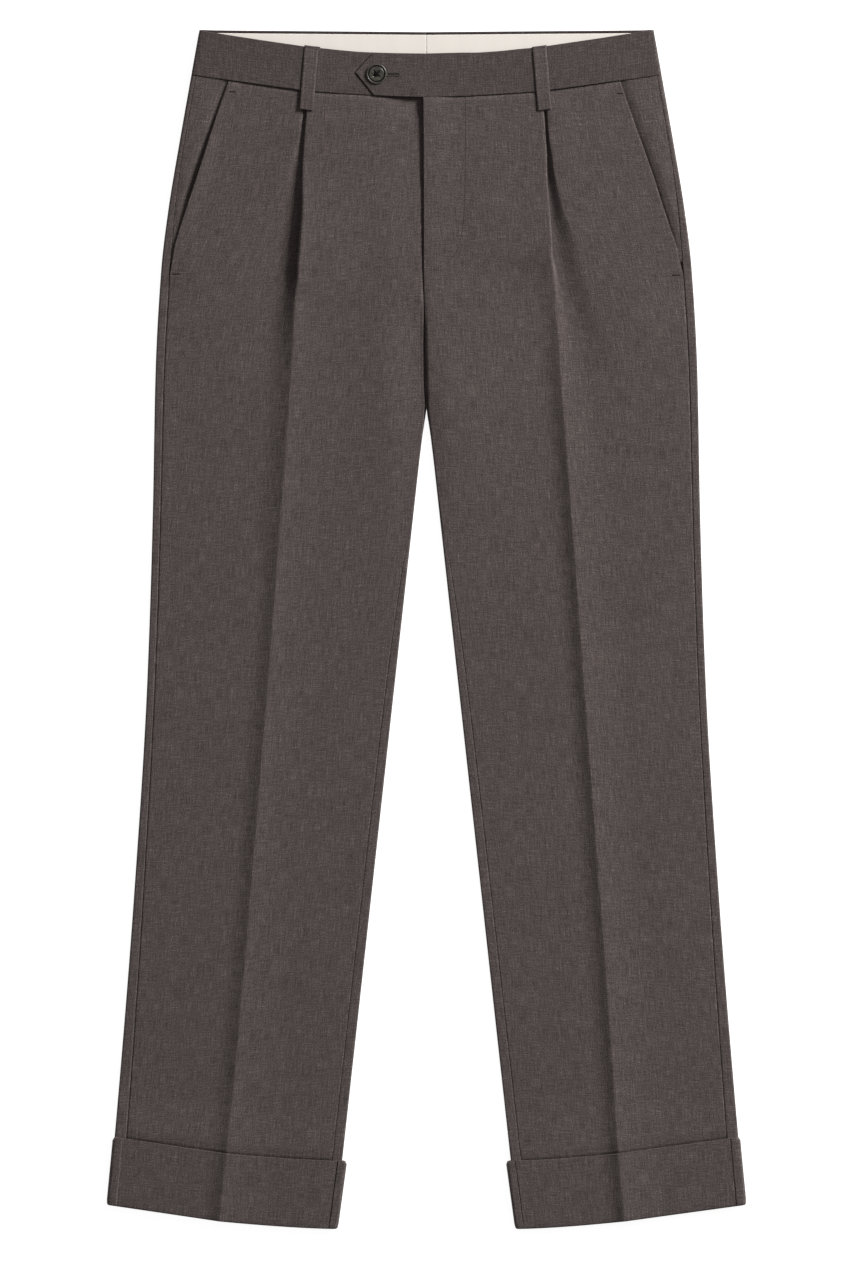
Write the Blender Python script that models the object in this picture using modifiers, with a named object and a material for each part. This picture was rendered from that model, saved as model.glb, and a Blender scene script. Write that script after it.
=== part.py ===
"""Pleated dress trousers, laid flat with the front up.

Lengths are in millimetres until place() turns them into metres.  A section across one leg is a path of
(half, rise) points: half is the distance from the garment's centre line, and rise is the height of the middle
of the cloth above the surface it lies on.  A drop is a distance down from the top of the waistband.  Sections
are named by their drop at the outer edge, because both the waist and the hem hang lower towards the middle.
Side -1 is the wearer's right, at -X, and side +1 is the wearer's left.
"""
import math

import bpy
from mathutils import Vector

MM = 0.001
LENGTH = 1103.0                 # waist to the lowest point of the turn-ups
RIGHT, LEFT = -1, 1
SIDE_NAMES = {RIGHT: "right", LEFT: "left"}

CLOTH = 1.2                     # wall thicknesses
BAND_CLOTH = 1.4
LINING_CLOTH = 1.0
SEAM_GAP = 0.3                  # between pieces that are sewn edge to edge
LAYER_GAP = 0.4                 # between pieces that lie on each other

GREY_BROWN = (0.083, 0.067, 0.063)
CREAM = (0.90, 0.84, 0.76)
BUTTON_BROWN = (0.030, 0.024, 0.022)
CLOTH_ROUGHNESS = 0.85
BUTTON_ROUGHNESS = 0.35

# The waist, the seams and the hem drop towards the crease, and on from it to the inner edge.
DROP_TO_CREASE = 15.0
DROP_TO_CENTRE_WAIST = 5.5
DROP_TO_CENTRE_HEM = 7.0
DROP_POWER = 1.5

WAIST = 41.25                   # lower edge of the waistband
CROTCH = 316.5
INSEAM_JOINED = 400.0           # the inseam lies between the legs down to here
INSEAM_ROLLED = 445.0           # and on the front from here
HEM = 1081.0
LEG_END = 1077.0                # the panels end inside the turn-ups
CREASE_LEAN = 3.5               # both creases lean to the wearer's right at the hem
INNER_SLOPE = 0.1104            # the inner edges part by this much for each millimetre of drop
SEAM_RUN = 0.3                  # shortest run of cloth past a rolled seam
TWIST_ROOM = 2.0                # the seam gap grows by this factor where the inseam twists over

STATIONS = (WAIST + SEAM_GAP, 60, 85, 110, 140, 170, 200, 214, 226, 236, 255, 285, CROTCH, 356, INSEAM_JOINED,
            422, INSEAM_ROLLED, 470, 600, 740, 880, 975, 1010, LEG_END)


class Table:
    """Rows of named values over a first column, joined by smooth curves that never pass beyond a row."""

    def __init__(self, names, *rows):
        self.names = names.split()
        self.rows = rows

    def secant(self, column, index):
        run = self.rows[index + 1][0] - self.rows[index][0]
        return (self.rows[index + 1][column] - self.rows[index][column]) / run

    def slope(self, column, index):
        before = self.secant(column, max(index - 1, 0))
        after = self.secant(column, min(index, len(self.rows) - 2))
        if before * after <= 0:
            return 0.0
        return 2 * before * after / (before + after)

    def read(self, name, at):
        column = self.names.index(name)
        at = min(max(at, self.rows[0][0]), self.rows[-1][0])
        index = max(i for i in range(len(self.rows) - 1) if self.rows[i][0] <= at)
        low, high = self.rows[index], self.rows[index + 1]
        run = high[0] - low[0]
        t = (at - low[0]) / run
        leave = self.slope(column, index) * run
        arrive = self.slope(column, index + 1) * run
        return ((1 + 2 * t) * (1 - t) ** 2 * low[column] + t * (1 - t) ** 2 * leave
                + t * t * (3 - 2 * t) * high[column] - t * t * (1 - t) * arrive)


# Outer edge, width of the back panel that shows inside it, and the crease or pleat fold.
OUTLINE = Table("drop outer strip crease",
                (41.4, 216.3, 4.2, 107.0),
                (101, 226.8, 4.2, 111.2),
                (165, 237.4, 6.0, 115.8),
                (220, 244.0, 8.0, 119.3),
                (CROTCH, 249.3, 7.6, 125.9),
                (INSEAM_ROLLED, 251.8, 6.8, 135.0),
                (600, 256.9, 6.7, 146.6),
                (800, 269.3, 8.2, 162.4),
                (1000, 285.3, 10.5, 178.8),
                (HEM, 292.9, 11.5, 186.5))

# Width of the back panel that shows inside the inner edge, where the inseam is rolled to the front.
INSEAM = Table("drop strip", (INSEAM_ROLLED, 0.5), (470, 4.6), (600, 8.3), (800, 9.2), (HEM, 9.6))

# Mouth of the slant pocket, and the height of the front panel's edge along it.
POCKET = Table("drop edge rise",
               (41, 180.4, 6.1),
               (75, 191.5, 5.7),
               (101, 199.4, 5.4),
               (149, 215.7, 4.8),
               (185, 227.6, 4.4),
               (200, 231.8, 4.1),
               (214, 234.2, 3.7),
               (226, 236.2, 3.0),
               (236, 237.2, 2.57))
FACING_COVER = 12.0             # the facing runs on under the front panel by this much
FACING_BUTTS = 200              # and only meets its edge from here
FACING_END = 214
FACING_STEPS = 2                # between the outseam and the pocket mouth

# Heights: under the back panel, at the outer edge, half way in, beside the pleat, and near the centre line.
RISE = Table("drop under side flank valley middle valley_width",
             (41, 1.6, 5.4, 6.0, 3.9, 7.1, 6),
             (64, 1.6, 5.1, 5.8, 3.6, 6.8, 7),
             (85, 1.25, 4.8, 5.6, 3.4, 6.5, 8),
             (110, 0.9, 4.3, 5.3, 3.0, 6.2, 10),
             (170, 0.3, 3.3, 4.6, 2.4, 5.4, 16),
             (214, 0.0, 2.65, 4.0, 2.2, 4.9, 22),
             (255, 0.0, 2.5, 3.4, 2.2, 4.7, 26),
             (285, 0.0, 2.45, 3.0, 2.3, 4.6, 28),
             (CROTCH, 0.0, 2.4, 2.8, 2.4, 4.6, 28),
             (356, 0.0, 2.4, 2.6, 2.4, 3.8, 30),
             (INSEAM_JOINED, 0.0, 2.4, 2.4, 2.4, 3.4, 30),
             (INSEAM_ROLLED, 0.0, 2.4, 2.4, 2.4, 3.0, 30),
             (520, 0.0, 2.4, 2.4, 2.4, 2.4, 30))

# The legs rise on to the turn-ups that lie under them.
HEM_LIFT = Table("drop lift", (975, 0.0), (1010, CLOTH + LAYER_GAP))

# The pleat: the cloth turns up at its foot, runs back by its depth and turns over at the fold.  Where the turn
# is small the same walk gives the pressed crease.
PLEAT = Table("drop turn depth foot_arc fold_arc settle_arc",
              (41, 180, 16.0, 2.5, 2.5, 20),
              (110, 180, 12.5, 3.3, 3.3, 25),
              (170, 180, 8.5, 3.3, 3.3, 25),
              (214, 180, 5.0, 3.3, 3.3, 26),
              (255, 150, 1.5, 2.2, 2.6, 24),
              (285, 70, 1.5, 3.4, 1.8, 22),
              (CROTCH, 32, 3.0, 8.0, 1.4, 20),
              (356, 22, 3.5, 12.0, 1.3, 18),
              (INSEAM_JOINED, 18, 3.5, 15.0, 1.2, 16))
FOLD_RUN = 3.5                  # straight cloth inside the fold
FOOT_ROOM = 1.5                 # the cloth is low for this far outside the pleat's foot
FOLD_ROOM = 1.2                 # and outside its fold

# The fly: where each front panel ends past the centre line, and how far the right one dips under the left.
FLY = Table("drop left_end right_end dip",
            (41, -2.8, -8.0, 1.6),
            (140, -2.8, -8.0, 1.6),
            (170, -2.4, 2.7, 1.5),
            (200, -0.8, 1.1, 0.6),
            (214, 0.15, 0.15, 0.0))

# How far the inner ends of the panels turn into the crotch seam, in degrees.
ENDS = Table("drop front back",
             (200, 0, 0),
             (236, 26, 16),
             (255, 42, 36),
             (285, 66, 64),
             (CROTCH, 90, 90),
             (INSEAM_JOINED, 90, 90),
             (INSEAM_ROLLED, 0, 180))
END_INSETS = (45, 22, 10)       # columns of the front panel, measured from its inner end

# Steps for each stretch of a section.
LEG_STEPS = {"flank": 4, "valley": 3, "foot": 5, "depth": 1, "fold": 5, "settle": 4, "end": 4,
             "roll": 5, "under": 3}
CUFF_STEPS = {"flank": 2, "valley": 1, "foot": 3, "depth": 1, "fold": 3, "settle": 3, "end": 1,
              "roll": 4, "under": 3}


def smooth(share):
    return share * share * (3 - 2 * share)


def linear(share):
    return share


def place(side, half, rise, drop):
    return Vector((side * half, LENGTH / 2 - drop, rise)) * MM


def crease_half(side, drop):
    return OUTLINE.read("crease", drop) - side * CREASE_LEAN * drop / HEM


def inner_half(drop):
    return SEAM_GAP / 2 + INNER_SLOPE * max(drop - CROTCH, 0)


def section_drop(side, half, drop):
    """How much lower a point of a section lies than the section's outer edge."""
    outer = OUTLINE.read("outer", drop)
    crease = crease_half(side, drop)
    if half > crease:
        return DROP_TO_CREASE * (outer - half) / (outer - crease)
    inward = min((crease - abs(half)) / (crease - inner_half(drop)), 1.0)
    to_centre = DROP_TO_CENTRE_WAIST + (DROP_TO_CENTRE_HEM - DROP_TO_CENTRE_WAIST) * drop / HEM
    return DROP_TO_CREASE + to_centre * (1 - (1 - inward) ** DROP_POWER)


def place_front(side, half, rise, drop):
    return place(side, half, rise, drop + section_drop(side, half, drop))


def place_back(side, half, rise, drop):
    """The back is cut straight at the waist.  It follows the front from the crotch down, and at the outseam."""
    low = back_rise(drop)
    height = min(max((rise - low) / (RISE.read("side", drop) - low), 0), 1)
    follow = height + (1 - height) * smooth(min((drop - WAIST) / (CROTCH - WAIST), 1))
    return place(side, half, rise, drop + section_drop(side, half, drop) * follow)


def walk(start, heading, *moves):
    """A path of (half, rise) points from start.

    heading is in degrees: 0 runs towards the centre line, 90 up and 180 outwards.  Each move is its length,
    the degrees it turns and its number of steps.
    """
    points = [start]
    for length, turn, steps in moves:
        half_step = math.radians(turn / steps / 2)
        chord = length / steps
        if half_step:
            chord *= math.sin(half_step) / half_step
        for _ in range(steps):
            angle = math.radians(heading) + half_step
            half, rise = points[-1]
            points.append((half - chord * math.cos(angle), rise + chord * math.sin(angle)))
            heading += turn / steps
    return points


def moved(points, half, rise):
    return [(point[0] + half, point[1] + rise) for point in points]


def eased(start, end, steps, ease):
    """Points after start up to end; ease shapes the rise between them."""
    shares = [(step + 1) / steps for step in range(steps)]
    return [(start[0] + (end[0] - start[0]) * share, start[1] + (end[1] - start[1]) * ease(share))
            for share in shares]


def back_rise(drop):
    return RISE.read("under", drop) + CLOTH / 2


def seam_roll_radius(drop):
    """Radius of the roll at the inseam, where the front and back panels meet or the back turns over."""
    height = RISE.read("middle", drop) - back_rise(drop)
    straight = SEAM_GAP + 2 * SEAM_RUN
    return (height - straight * math.sin(math.radians(ENDS.read("back", drop)))) / 2


def end_arc(turn, drop):
    """Length of the arc that turns a panel's inner end."""
    if drop <= CROTCH or not turn:
        return seam_roll_radius(CROTCH) * math.pi / 2
    return seam_roll_radius(drop) * math.radians(turn)


def inseam_strip(drop):
    """Straight cloth past the arc at the inner end of the back panel."""
    if drop < INSEAM_ROLLED:
        return SEAM_RUN
    return max(SEAM_RUN, INSEAM.read("strip", drop) - CLOTH / 2 - seam_roll_radius(drop))


def outseam_half(drop):
    """Outer edge of what is sewn to the back panel's outseam."""
    return OUTLINE.read("outer", drop) - OUTLINE.read("strip", drop) - SEAM_GAP


def front_outer_half(drop):
    """The front panel starts at the outseam, or along the pocket mouth above it."""
    seam = outseam_half(drop)
    if drop > POCKET.rows[-1][0]:
        return seam
    return min(seam, POCKET.read("edge", drop))


def back_ending(drop, steps):
    """The inner end of the back panel: flat at the seat seam, and turned up from there to the inseam."""
    turn_up = ENDS.read("back", drop)
    ending = walk((0, back_rise(drop)), 0, (end_arc(turn_up, drop), turn_up, steps["roll"]),
                  (inseam_strip(drop), 0, 1))
    innermost = min(half for half, _ in ending)
    clear = CLOTH / 2 * math.sin(math.radians(min(turn_up, 90)))
    return moved(ending, inner_half(drop) + clear - innermost, 0)


def front_end(side, drop, steps):
    """Half at which the front panel's inner edge ends."""
    if drop < FLY.rows[-1][0]:
        return FLY.read(SIDE_NAMES[side] + "_end", drop)
    if drop < CROTCH:
        return inner_half(drop) + CLOTH / 2 * math.sin(math.radians(ENDS.read("front", drop)))
    gap = SEAM_GAP
    if INSEAM_JOINED < drop <= INSEAM_ROLLED:
        gap *= TWIST_ROOM
    return back_ending(drop, steps)[-1][0] - gap * math.cos(math.radians(ENDS.read("back", drop)))


def front_section(side, drop, steps=LEG_STEPS):
    """The front panel from the outseam to the inseam, the fly or the crotch seam."""
    crease = crease_half(side, drop)
    valley = RISE.read("valley", drop)
    middle = RISE.read("middle", drop)
    turn = PLEAT.read("turn", drop)
    fold_arc = PLEAT.read("fold_arc", drop)
    settle = PLEAT.read("settle_arc", drop)

    up = walk((0, valley), 0, (PLEAT.read("foot_arc", drop), turn, steps["foot"]),
              (PLEAT.read("depth", drop), 0, steps["depth"]))
    bulge = (fold_arc / math.radians(turn) + CLOTH / 2) * (1 - math.cos(math.radians(turn))) / 2
    up = moved(up, crease - bulge - up[-1][0], 0)
    over = walk(up[-1], turn, (fold_arc, -turn, steps["fold"]))
    tilt = math.degrees((over[-1][1] - middle) / (FOLD_RUN + settle / 2))
    over = walk(up[-1], turn, (fold_arc, -turn - tilt, steps["fold"]), (FOLD_RUN, 0, 1),
                (settle, tilt, steps["settle"]))

    edge = front_outer_half(drop)
    edge_rise = RISE.read("side", drop)
    if drop < POCKET.rows[-1][0]:
        edge_rise = POCKET.read("rise", drop)
    foot = up[0][0]
    low = max(foot + FOOT_ROOM, crease + FOLD_ROOM)
    high = low + RISE.read("valley_width", drop)
    points = [(edge, edge_rise)]
    points += eased(points[-1], (high, RISE.read("flank", drop)), steps["flank"], smooth)
    points += eased(points[-1], (low, valley), steps["valley"], smooth)
    points += up + over[1:]

    turn_down = ENDS.read("front", drop)
    ending = walk((0, middle), 0, (end_arc(turn_down, drop), -turn_down, steps["end"]), (SEAM_RUN, 0, 1))
    ending = moved(ending, front_end(side, drop, steps) - ending[-1][0], 0)
    dip = FLY.read("dip", drop) if side == RIGHT else 0
    last = ending[-1][0]
    points += [(last + inset, middle) for inset in END_INSETS]
    points[-1] = (points[-1][0], points[-1][1] - dip)
    points += moved(ending, 0, -dip)
    return lifted(points, drop)


def back_section(side, drop, steps=LEG_STEPS):
    """The back panel from the outseam, round under the leg, to the inseam or the seat seam."""
    outer = OUTLINE.read("outer", drop)
    top = RISE.read("side", drop)
    low = back_rise(drop)
    radius = (top - low) / 2
    strip = OUTLINE.read("strip", drop) - CLOTH / 2 - radius
    points = walk((outer - CLOTH / 2 - radius - strip, top), 180, (strip, 0, 1),
                  (math.pi * radius, 180, steps["roll"]))

    ending = back_ending(drop, steps)
    points += eased(points[-1], (crease_half(side, drop), low), steps["under"], linear)
    points += eased(points[-1], ending[0], steps["under"], linear)
    points += ending[1:]
    return lifted(points, drop)


def lifted(points, drop):
    return moved(points, 0, HEM_LIFT.read("lift", drop))


def offset_path(points, distance):
    """The path moved sideways: a positive distance is up where the path runs towards the centre line."""
    normals = []
    for (half, rise), (next_half, next_rise) in zip(points, points[1:]):
        run = math.hypot(next_half - half, next_rise - rise)
        normals.append(((next_rise - rise) / run, (half - next_half) / run))
    result = []
    for index, (half, rise) in enumerate(points):
        before = normals[max(index - 1, 0)]
        after = normals[min(index, len(normals) - 1)]
        share = distance / (1 + before[0] * after[0] + before[1] * after[1])
        result.append((half + share * (before[0] + after[0]), rise + share * (before[1] + after[1])))
    return result


def material(name, color, roughness):
    """A plain finish: color is linear red, green and blue."""
    finish = bpy.data.materials.new(name)
    finish.use_nodes = True
    shader = finish.node_tree.nodes["Principled BSDF"]
    shader.inputs["Base Color"].default_value = (*color, 1)
    shader.inputs["Roughness"].default_value = roughness
    shader.inputs["Metallic"].default_value = 0
    return finish


def collection(name):
    made = bpy.data.collections.new(name)
    bpy.context.scene.collection.children.link(made)
    return made


def sheet(name, rows, thickness, color):
    """A wall of cloth: rows of points give its middle, and every row has as many points."""
    width = len(rows[0])
    points = [point for row in rows for point in row]
    faces = []
    for row in range(len(rows) - 1):
        for column in range(width - 1):
            corner = row * width + column
            faces.append((corner, corner + 1, corner + width + 1, corner + width))
    mesh = bpy.data.meshes.new(name)
    mesh.from_pydata(points, [], faces)
    mesh.shade_smooth()
    piece = bpy.data.objects.new(name, mesh)
    wall = piece.modifiers.new("wall", "SOLIDIFY")
    wall.thickness = thickness * MM
    wall.offset = 0
    wall.use_even_offset = True
    piece.data.materials.append(material(name, color, CLOTH_ROUGHNESS))
    GARMENT.objects.link(piece)


def make_panels(side):
    fronts = []
    backs = []
    for drop in STATIONS:
        fronts.append([place_front(side, half, rise, drop) for half, rise in front_section(side, drop)])
        backs.append([place_back(side, half, rise, drop) for half, rise in back_section(side, drop)])
    sheet("front_" + SIDE_NAMES[side], fronts, CLOTH, GREY_BROWN)
    sheet("back_" + SIDE_NAMES[side], backs, CLOTH, GREY_BROWN)


# Turn-ups: a layer outside the leg, a fold at the hem and a short stub that meets the leg panel's end.
CUFF_TOP = 1018.5
CUFF_OFFSET = CLOTH + LAYER_GAP
CUFF_FOLD_RADIUS = CUFF_OFFSET / 2
CUFF_FOLD = HEM - CLOTH / 2 - CUFF_FOLD_RADIUS
CUFF_FOLD_STEPS = 4
CUFF_LAYER_STEPS = 2
CUFF_FLARE_TOP = 3.0            # the turn-ups stand out this much further at the inseam
CUFF_FLARE_HEM = 1.4
CUFF_FLARE_WIDTH = 20.0
CUFF_SEAM_SHIFT = 4.0           # and their seams lie this much nearer the edges
CUFF_SEAM_WIDTH = 30.0


def cuff_rows():
    """(drop, distance outside the leg) down the outer layer, round the fold and up the stub."""
    rows = [(CUFF_TOP + (CUFF_FOLD - CUFF_TOP) * step / CUFF_LAYER_STEPS, CUFF_OFFSET)
            for step in range(CUFF_LAYER_STEPS)]
    for step in range(CUFF_FOLD_STEPS + 1):
        angle = math.pi * step / CUFF_FOLD_STEPS
        rows.append((CUFF_FOLD + CUFF_FOLD_RADIUS * math.sin(angle), CUFF_FOLD_RADIUS * (1 + math.cos(angle))))
    rows.append((LEG_END + SEAM_GAP, 0))
    return rows


def seams_moved(path, layer):
    """The path of a turn-up with the seams at its ends moved towards the edges of the leg."""
    first, last = path[0][0], path[-1][0]
    if layer == "back":
        return [(first + CUFF_SEAM_SHIFT, path[0][1]), *path[1:-1], (last - CUFF_SEAM_SHIFT, path[-1][1])]
    result = []
    for half, rise in path:
        outward = 1 - smooth(min((first - half) / CUFF_SEAM_WIDTH, 1))
        inward = 1 - smooth(min((half - last) / CUFF_SEAM_WIDTH, 1))
        result.append((half + CUFF_SEAM_SHIFT * (outward - inward), rise))
    return result


def flared(path, drop):
    """The path of a turn-up with its inner edge moved towards the centre line."""
    down = (drop - CUFF_TOP) / (HEM - CUFF_TOP)
    reach = CUFF_FLARE_TOP + (CUFF_FLARE_HEM - CUFF_FLARE_TOP) * down
    result = []
    for half, rise in path:
        inset = min(max(half - inner_half(drop), 0) / CUFF_FLARE_WIDTH, 1)
        result.append((half - reach * (1 - smooth(inset)), rise))
    return result


def make_cuffs(side):
    for layer, section, put, outward in (("front", front_section, place_front, 1),
                                         ("back", back_section, place_back, -1)):
        rows = []
        for drop, distance in cuff_rows():
            path = offset_path(section(side, drop, CUFF_STEPS), outward * distance)
            path = flared(seams_moved(path, layer), drop)
            rows.append([put(side, half, rise, drop) for half, rise in path])
        sheet("cuff_" + layer + "_" + SIDE_NAMES[side], rows, CLOTH, GREY_BROWN)


def make_facing(side):
    """The pocket facing, from the outseam to under the pocket mouth."""
    rows = []
    for drop in STATIONS:
        if drop > FACING_END:
            break
        seam = outseam_half(drop)
        side_rise = RISE.read("side", drop)
        mouth = POCKET.read("edge", drop)
        low = side_rise
        if drop <= FACING_BUTTS:
            low = min(side_rise, POCKET.read("rise", drop) - CLOTH - SEAM_GAP)
        cover = -SEAM_GAP if drop >= FACING_BUTTS else FACING_COVER
        path = [(seam, side_rise)]
        path += eased(path[-1], (mouth + SEAM_GAP, low), FACING_STEPS, smooth)
        path.append((mouth + SEAM_GAP / 2 - cover / 2, low))
        path.append((mouth - cover, low))
        if drop >= FACING_BUTTS:
            share = (seam - mouth - SEAM_GAP) / (len(path) - 1)
            path = [(seam - share * index, path[index][1]) for index in range(len(path))]
        rows.append([place_front(side, half, rise, drop) for half, rise in path])
    sheet("facing_" + SIDE_NAMES[side], rows, CLOTH, GREY_BROWN)


# The waistband, from its front end round the side to the centre back.
BAND_OUTER_TOP = 209.0
BAND_OUTER_BOTTOM = 216.3
BAND_BACK_RISE = 2.3
BAND_SIDE_RISE = 5.7
BAND_ROWS = 4
BAND_RIGHT_END = -20.0          # past the centre line, under the left half
TAB_SHOULDER = 48.3             # the tab's corners and its point, past the centre line
TAB_POINT = 17.0
BACK_DIP = 2.0                  # the band's top edge sags at the centre back
BAND_FRONT = {RIGHT: Table("half rise", (-20, 6.3), (70, 6.3), (88, 7.1), (105, 7.1), (170, 6.3), (214, 5.7)),
              LEFT: Table("half rise", (-20, 8.0), (24, 8.0), (50, 7.1), (105, 7.1), (170, 6.3), (214, 5.7))}
BAND_COLUMNS = {RIGHT: (0, 35, 70, 79, 88), LEFT: (-30, 0, 24, 33, 42, 50, 75)}
BAND_SHARED_COLUMNS = (140, 175)
BAND_BACK_COLUMNS = (175, 140, 105, 70, 35)
BAND_ROLL_STEPS = 6


def back_dip(half):
    return BACK_DIP * (1 - smooth(min(half / BAND_OUTER_TOP, 1)))


def make_waistband(side):
    rows = []
    for step in range(BAND_ROWS + 1):
        down = step / BAND_ROWS
        outer = BAND_OUTER_TOP + (BAND_OUTER_BOTTOM - BAND_OUTER_TOP) * down
        taper = OUTLINE.read("outer", WAIST) / outer
        drop = WAIST * down
        radius = (BAND_SIDE_RISE - BAND_BACK_RISE) / 2
        tangent = outer - BAND_CLOTH / 2 - radius
        end = BAND_RIGHT_END
        if side == LEFT:
            end = -TAB_SHOULDER - TAB_POINT * (1 - abs(2 * down - 1))
        halves = (end, *BAND_COLUMNS[side], crease_half(side, WAIST), *BAND_SHARED_COLUMNS, tangent)
        row = []
        for half in halves:
            lower = section_drop(side, abs(half) * taper, WAIST)
            row.append(place(side, half, BAND_FRONT[side].read("rise", half), drop + lower))
        roll = walk((tangent, BAND_SIDE_RISE), 180, (math.pi * radius, 180, BAND_ROLL_STEPS))
        start_lower = section_drop(side, tangent * taper, WAIST)
        for index, (half, rise) in enumerate(roll[1:]):
            row.append(place(side, half, rise, drop + start_lower * (1 - (index + 1) / BAND_ROLL_STEPS)))
        for half in (*BAND_BACK_COLUMNS, SEAM_GAP / 2):
            row.append(place(side, half, BAND_BACK_RISE, drop + back_dip(half) * (1 - down)))
        rows.append(row)
    sheet("waistband_" + SIDE_NAMES[side], rows, BAND_CLOTH, GREY_BROWN)


# The lining lies on the inside of the back waistband, a little below its top edge.
LINING_TOP = 2.5
LINING_OUTER = 203.0
LINING_BOTTOM = 41.0
LINING_COLUMNS = 8


def make_lining(side):
    rise = BAND_BACK_RISE + (BAND_CLOTH + LINING_CLOTH) / 2 + SEAM_GAP
    tops = []
    bottoms = []
    for column in range(LINING_COLUMNS + 1):
        half = LINING_OUTER + (SEAM_GAP / 2 - LINING_OUTER) * column / LINING_COLUMNS
        tops.append(place(side, half, rise, LINING_TOP + back_dip(half)))
        bottoms.append(place(side, half, rise, LINING_BOTTOM))
    rows = [tops, bottoms]
    sheet("lining_" + SIDE_NAMES[side], rows, LINING_CLOTH, CREAM)


# Belt loops: the front ones bow away from the waistband, the back ones are pressed flat under it.
LOOP_WIDTH = 12.4
LOOP_STEPS = 8
FRONT_LOOP_TOP = (105.8, 15.0)  # half and drop of the middle of each end
FRONT_LOOP_BOTTOM = (110.6, 73.5)
FRONT_LOOP_RISE = 8.8
FRONT_LOOP_BOW = 1.1
BACK_LOOP_TOP = 2.0
BACK_LOOP_BOTTOM = 61.0
SIDE_LOOP_HALF = 140.0


def make_loop(name, side, top, bottom, rise, bow, slant):
    """slant is how much lower the loop's inner edge lies than its outer edge."""
    rows = []
    for step in range(LOOP_STEPS + 1):
        share = step / LOOP_STEPS
        half = top[0] + (bottom[0] - top[0]) * share
        drop = top[1] + (bottom[1] - top[1]) * share
        height = rise + bow * math.sin(math.pi * share)
        rows.append([place(side, half + LOOP_WIDTH / 2, height, drop - slant / 2),
                     place(side, half - LOOP_WIDTH / 2, height, drop + slant / 2)])
    sheet(name, rows, CLOTH, GREY_BROWN)


def make_loops():
    for side, name in SIDE_NAMES.items():
        make_loop("loop_front_" + name, side, FRONT_LOOP_TOP, FRONT_LOOP_BOTTOM, FRONT_LOOP_RISE, FRONT_LOOP_BOW,
                  LOOP_WIDTH * DROP_TO_CREASE / (BAND_OUTER_BOTTOM - FRONT_LOOP_TOP[0]))
        make_loop("loop_side_" + name, side, (SIDE_LOOP_HALF, BACK_LOOP_TOP), (SIDE_LOOP_HALF, BACK_LOOP_BOTTOM),
                  CLOTH / 2, 0, 0)
    make_loop("loop_back", RIGHT, (0, BACK_LOOP_TOP), (0, BACK_LOOP_BOTTOM), CLOTH / 2, 0, 0)


# The button on the tab: a turned disc with a raised rim, a shallow dish and four holes.
BUTTON_HALF = 46.0
BUTTON_DROP = 40.5
BUTTON_RADIUS = 9.5
BUTTON_HEIGHT = 3.0
BUTTON_RIM = 2.3                # width of the rim
BUTTON_DISH = 1.2               # depth of the dish
BUTTON_SHOULDER = 1.0           # the dish and the underside end this far inside the rim
BUTTON_HOLE_RADIUS = 1.0
BUTTON_HOLE_SIDES = 12
BUTTON_HOLE_PITCH = 2.1         # holes from the middle, along X and along Y
BUTTON_STEPS = 32
RIM_STEPS = 6
MERGE_DISTANCE = 0.00001        # metres, at the button's axis


def button_profile():
    """(radius, height) from the middle of the dish, over the rim and down to the middle of the underside."""
    dish_height = BUTTON_HEIGHT - BUTTON_DISH
    points = [(0, dish_height), (BUTTON_RADIUS - BUTTON_RIM - BUTTON_SHOULDER, dish_height)]
    for step in range(RIM_STEPS + 1):
        angle = math.pi * (1 - step / RIM_STEPS)
        points.append((BUTTON_RADIUS - BUTTON_RIM / 2 * (1 - math.cos(angle)),
                       dish_height + BUTTON_DISH * math.sin(angle)))
    points += [(BUTTON_RADIUS - BUTTON_SHOULDER, 0), (0, 0)]
    return points


def make_button():
    spot = place(RIGHT, BUTTON_HALF, BAND_FRONT[LEFT].read("rise", 0) + BAND_CLOTH / 2 + SEAM_GAP, BUTTON_DROP)
    profile = [(radius * MM, 0, height * MM) for radius, height in button_profile()]
    mesh = bpy.data.meshes.new("button")
    mesh.from_pydata(profile, [(index, index + 1) for index in range(len(profile) - 1)], [])
    button = bpy.data.objects.new("button", mesh)
    button.location = spot
    GARMENT.objects.link(button)
    turned = button.modifiers.new("turned", "SCREW")
    turned.steps = turned.render_steps = BUTTON_STEPS
    turned.use_merge_vertices = True
    turned.merge_threshold = MERGE_DISTANCE
    button.data.materials.append(material("button", BUTTON_BROWN, BUTTON_ROUGHNESS))
    for across in (-1, 1):
        for along in (-1, 1):
            reach = Vector((across, along, 0)) * BUTTON_HOLE_PITCH * MM
            bpy.ops.mesh.primitive_cylinder_add(vertices=BUTTON_HOLE_SIDES, radius=BUTTON_HOLE_RADIUS * MM,
                                                depth=4 * BUTTON_HEIGHT * MM, location=spot + reach)
            cutter = bpy.context.active_object
            cutter.name = "hole_cutter"
            cutter.hide_render = True
            cutter.display_type = "WIRE"
            for holder in cutter.users_collection:
                holder.objects.unlink(cutter)
            CUTTERS.objects.link(cutter)
            hole = button.modifiers.new("hole", "BOOLEAN")
            hole.object = cutter


for old in list(bpy.data.objects):
    bpy.data.objects.remove(old)
GARMENT = collection("pleated_dress_trousers")
CUTTERS = collection("cutters")

for each_side in (RIGHT, LEFT):
    make_panels(each_side)
    make_facing(each_side)
    make_waistband(each_side)
    make_lining(each_side)
    make_cuffs(each_side)
make_loops()
make_button()
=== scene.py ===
"""Looks of the pleated dress trousers, laid flat with the front up.

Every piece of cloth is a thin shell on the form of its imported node.  Lengths are in millimetres until
a mesh is made.  A section across one leg is a path of (half, rise) points: half is the distance from
the garment's centre line, and rise the height of the middle of the cloth.  A drop is a distance down
from the top of the waistband.  Side -1 is the wearer's right, at -X, and side +1 the wearer's left.
"""
import math

import bpy
import numpy as np
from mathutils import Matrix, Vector
from mathutils.bvhtree import BVHTree


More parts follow.
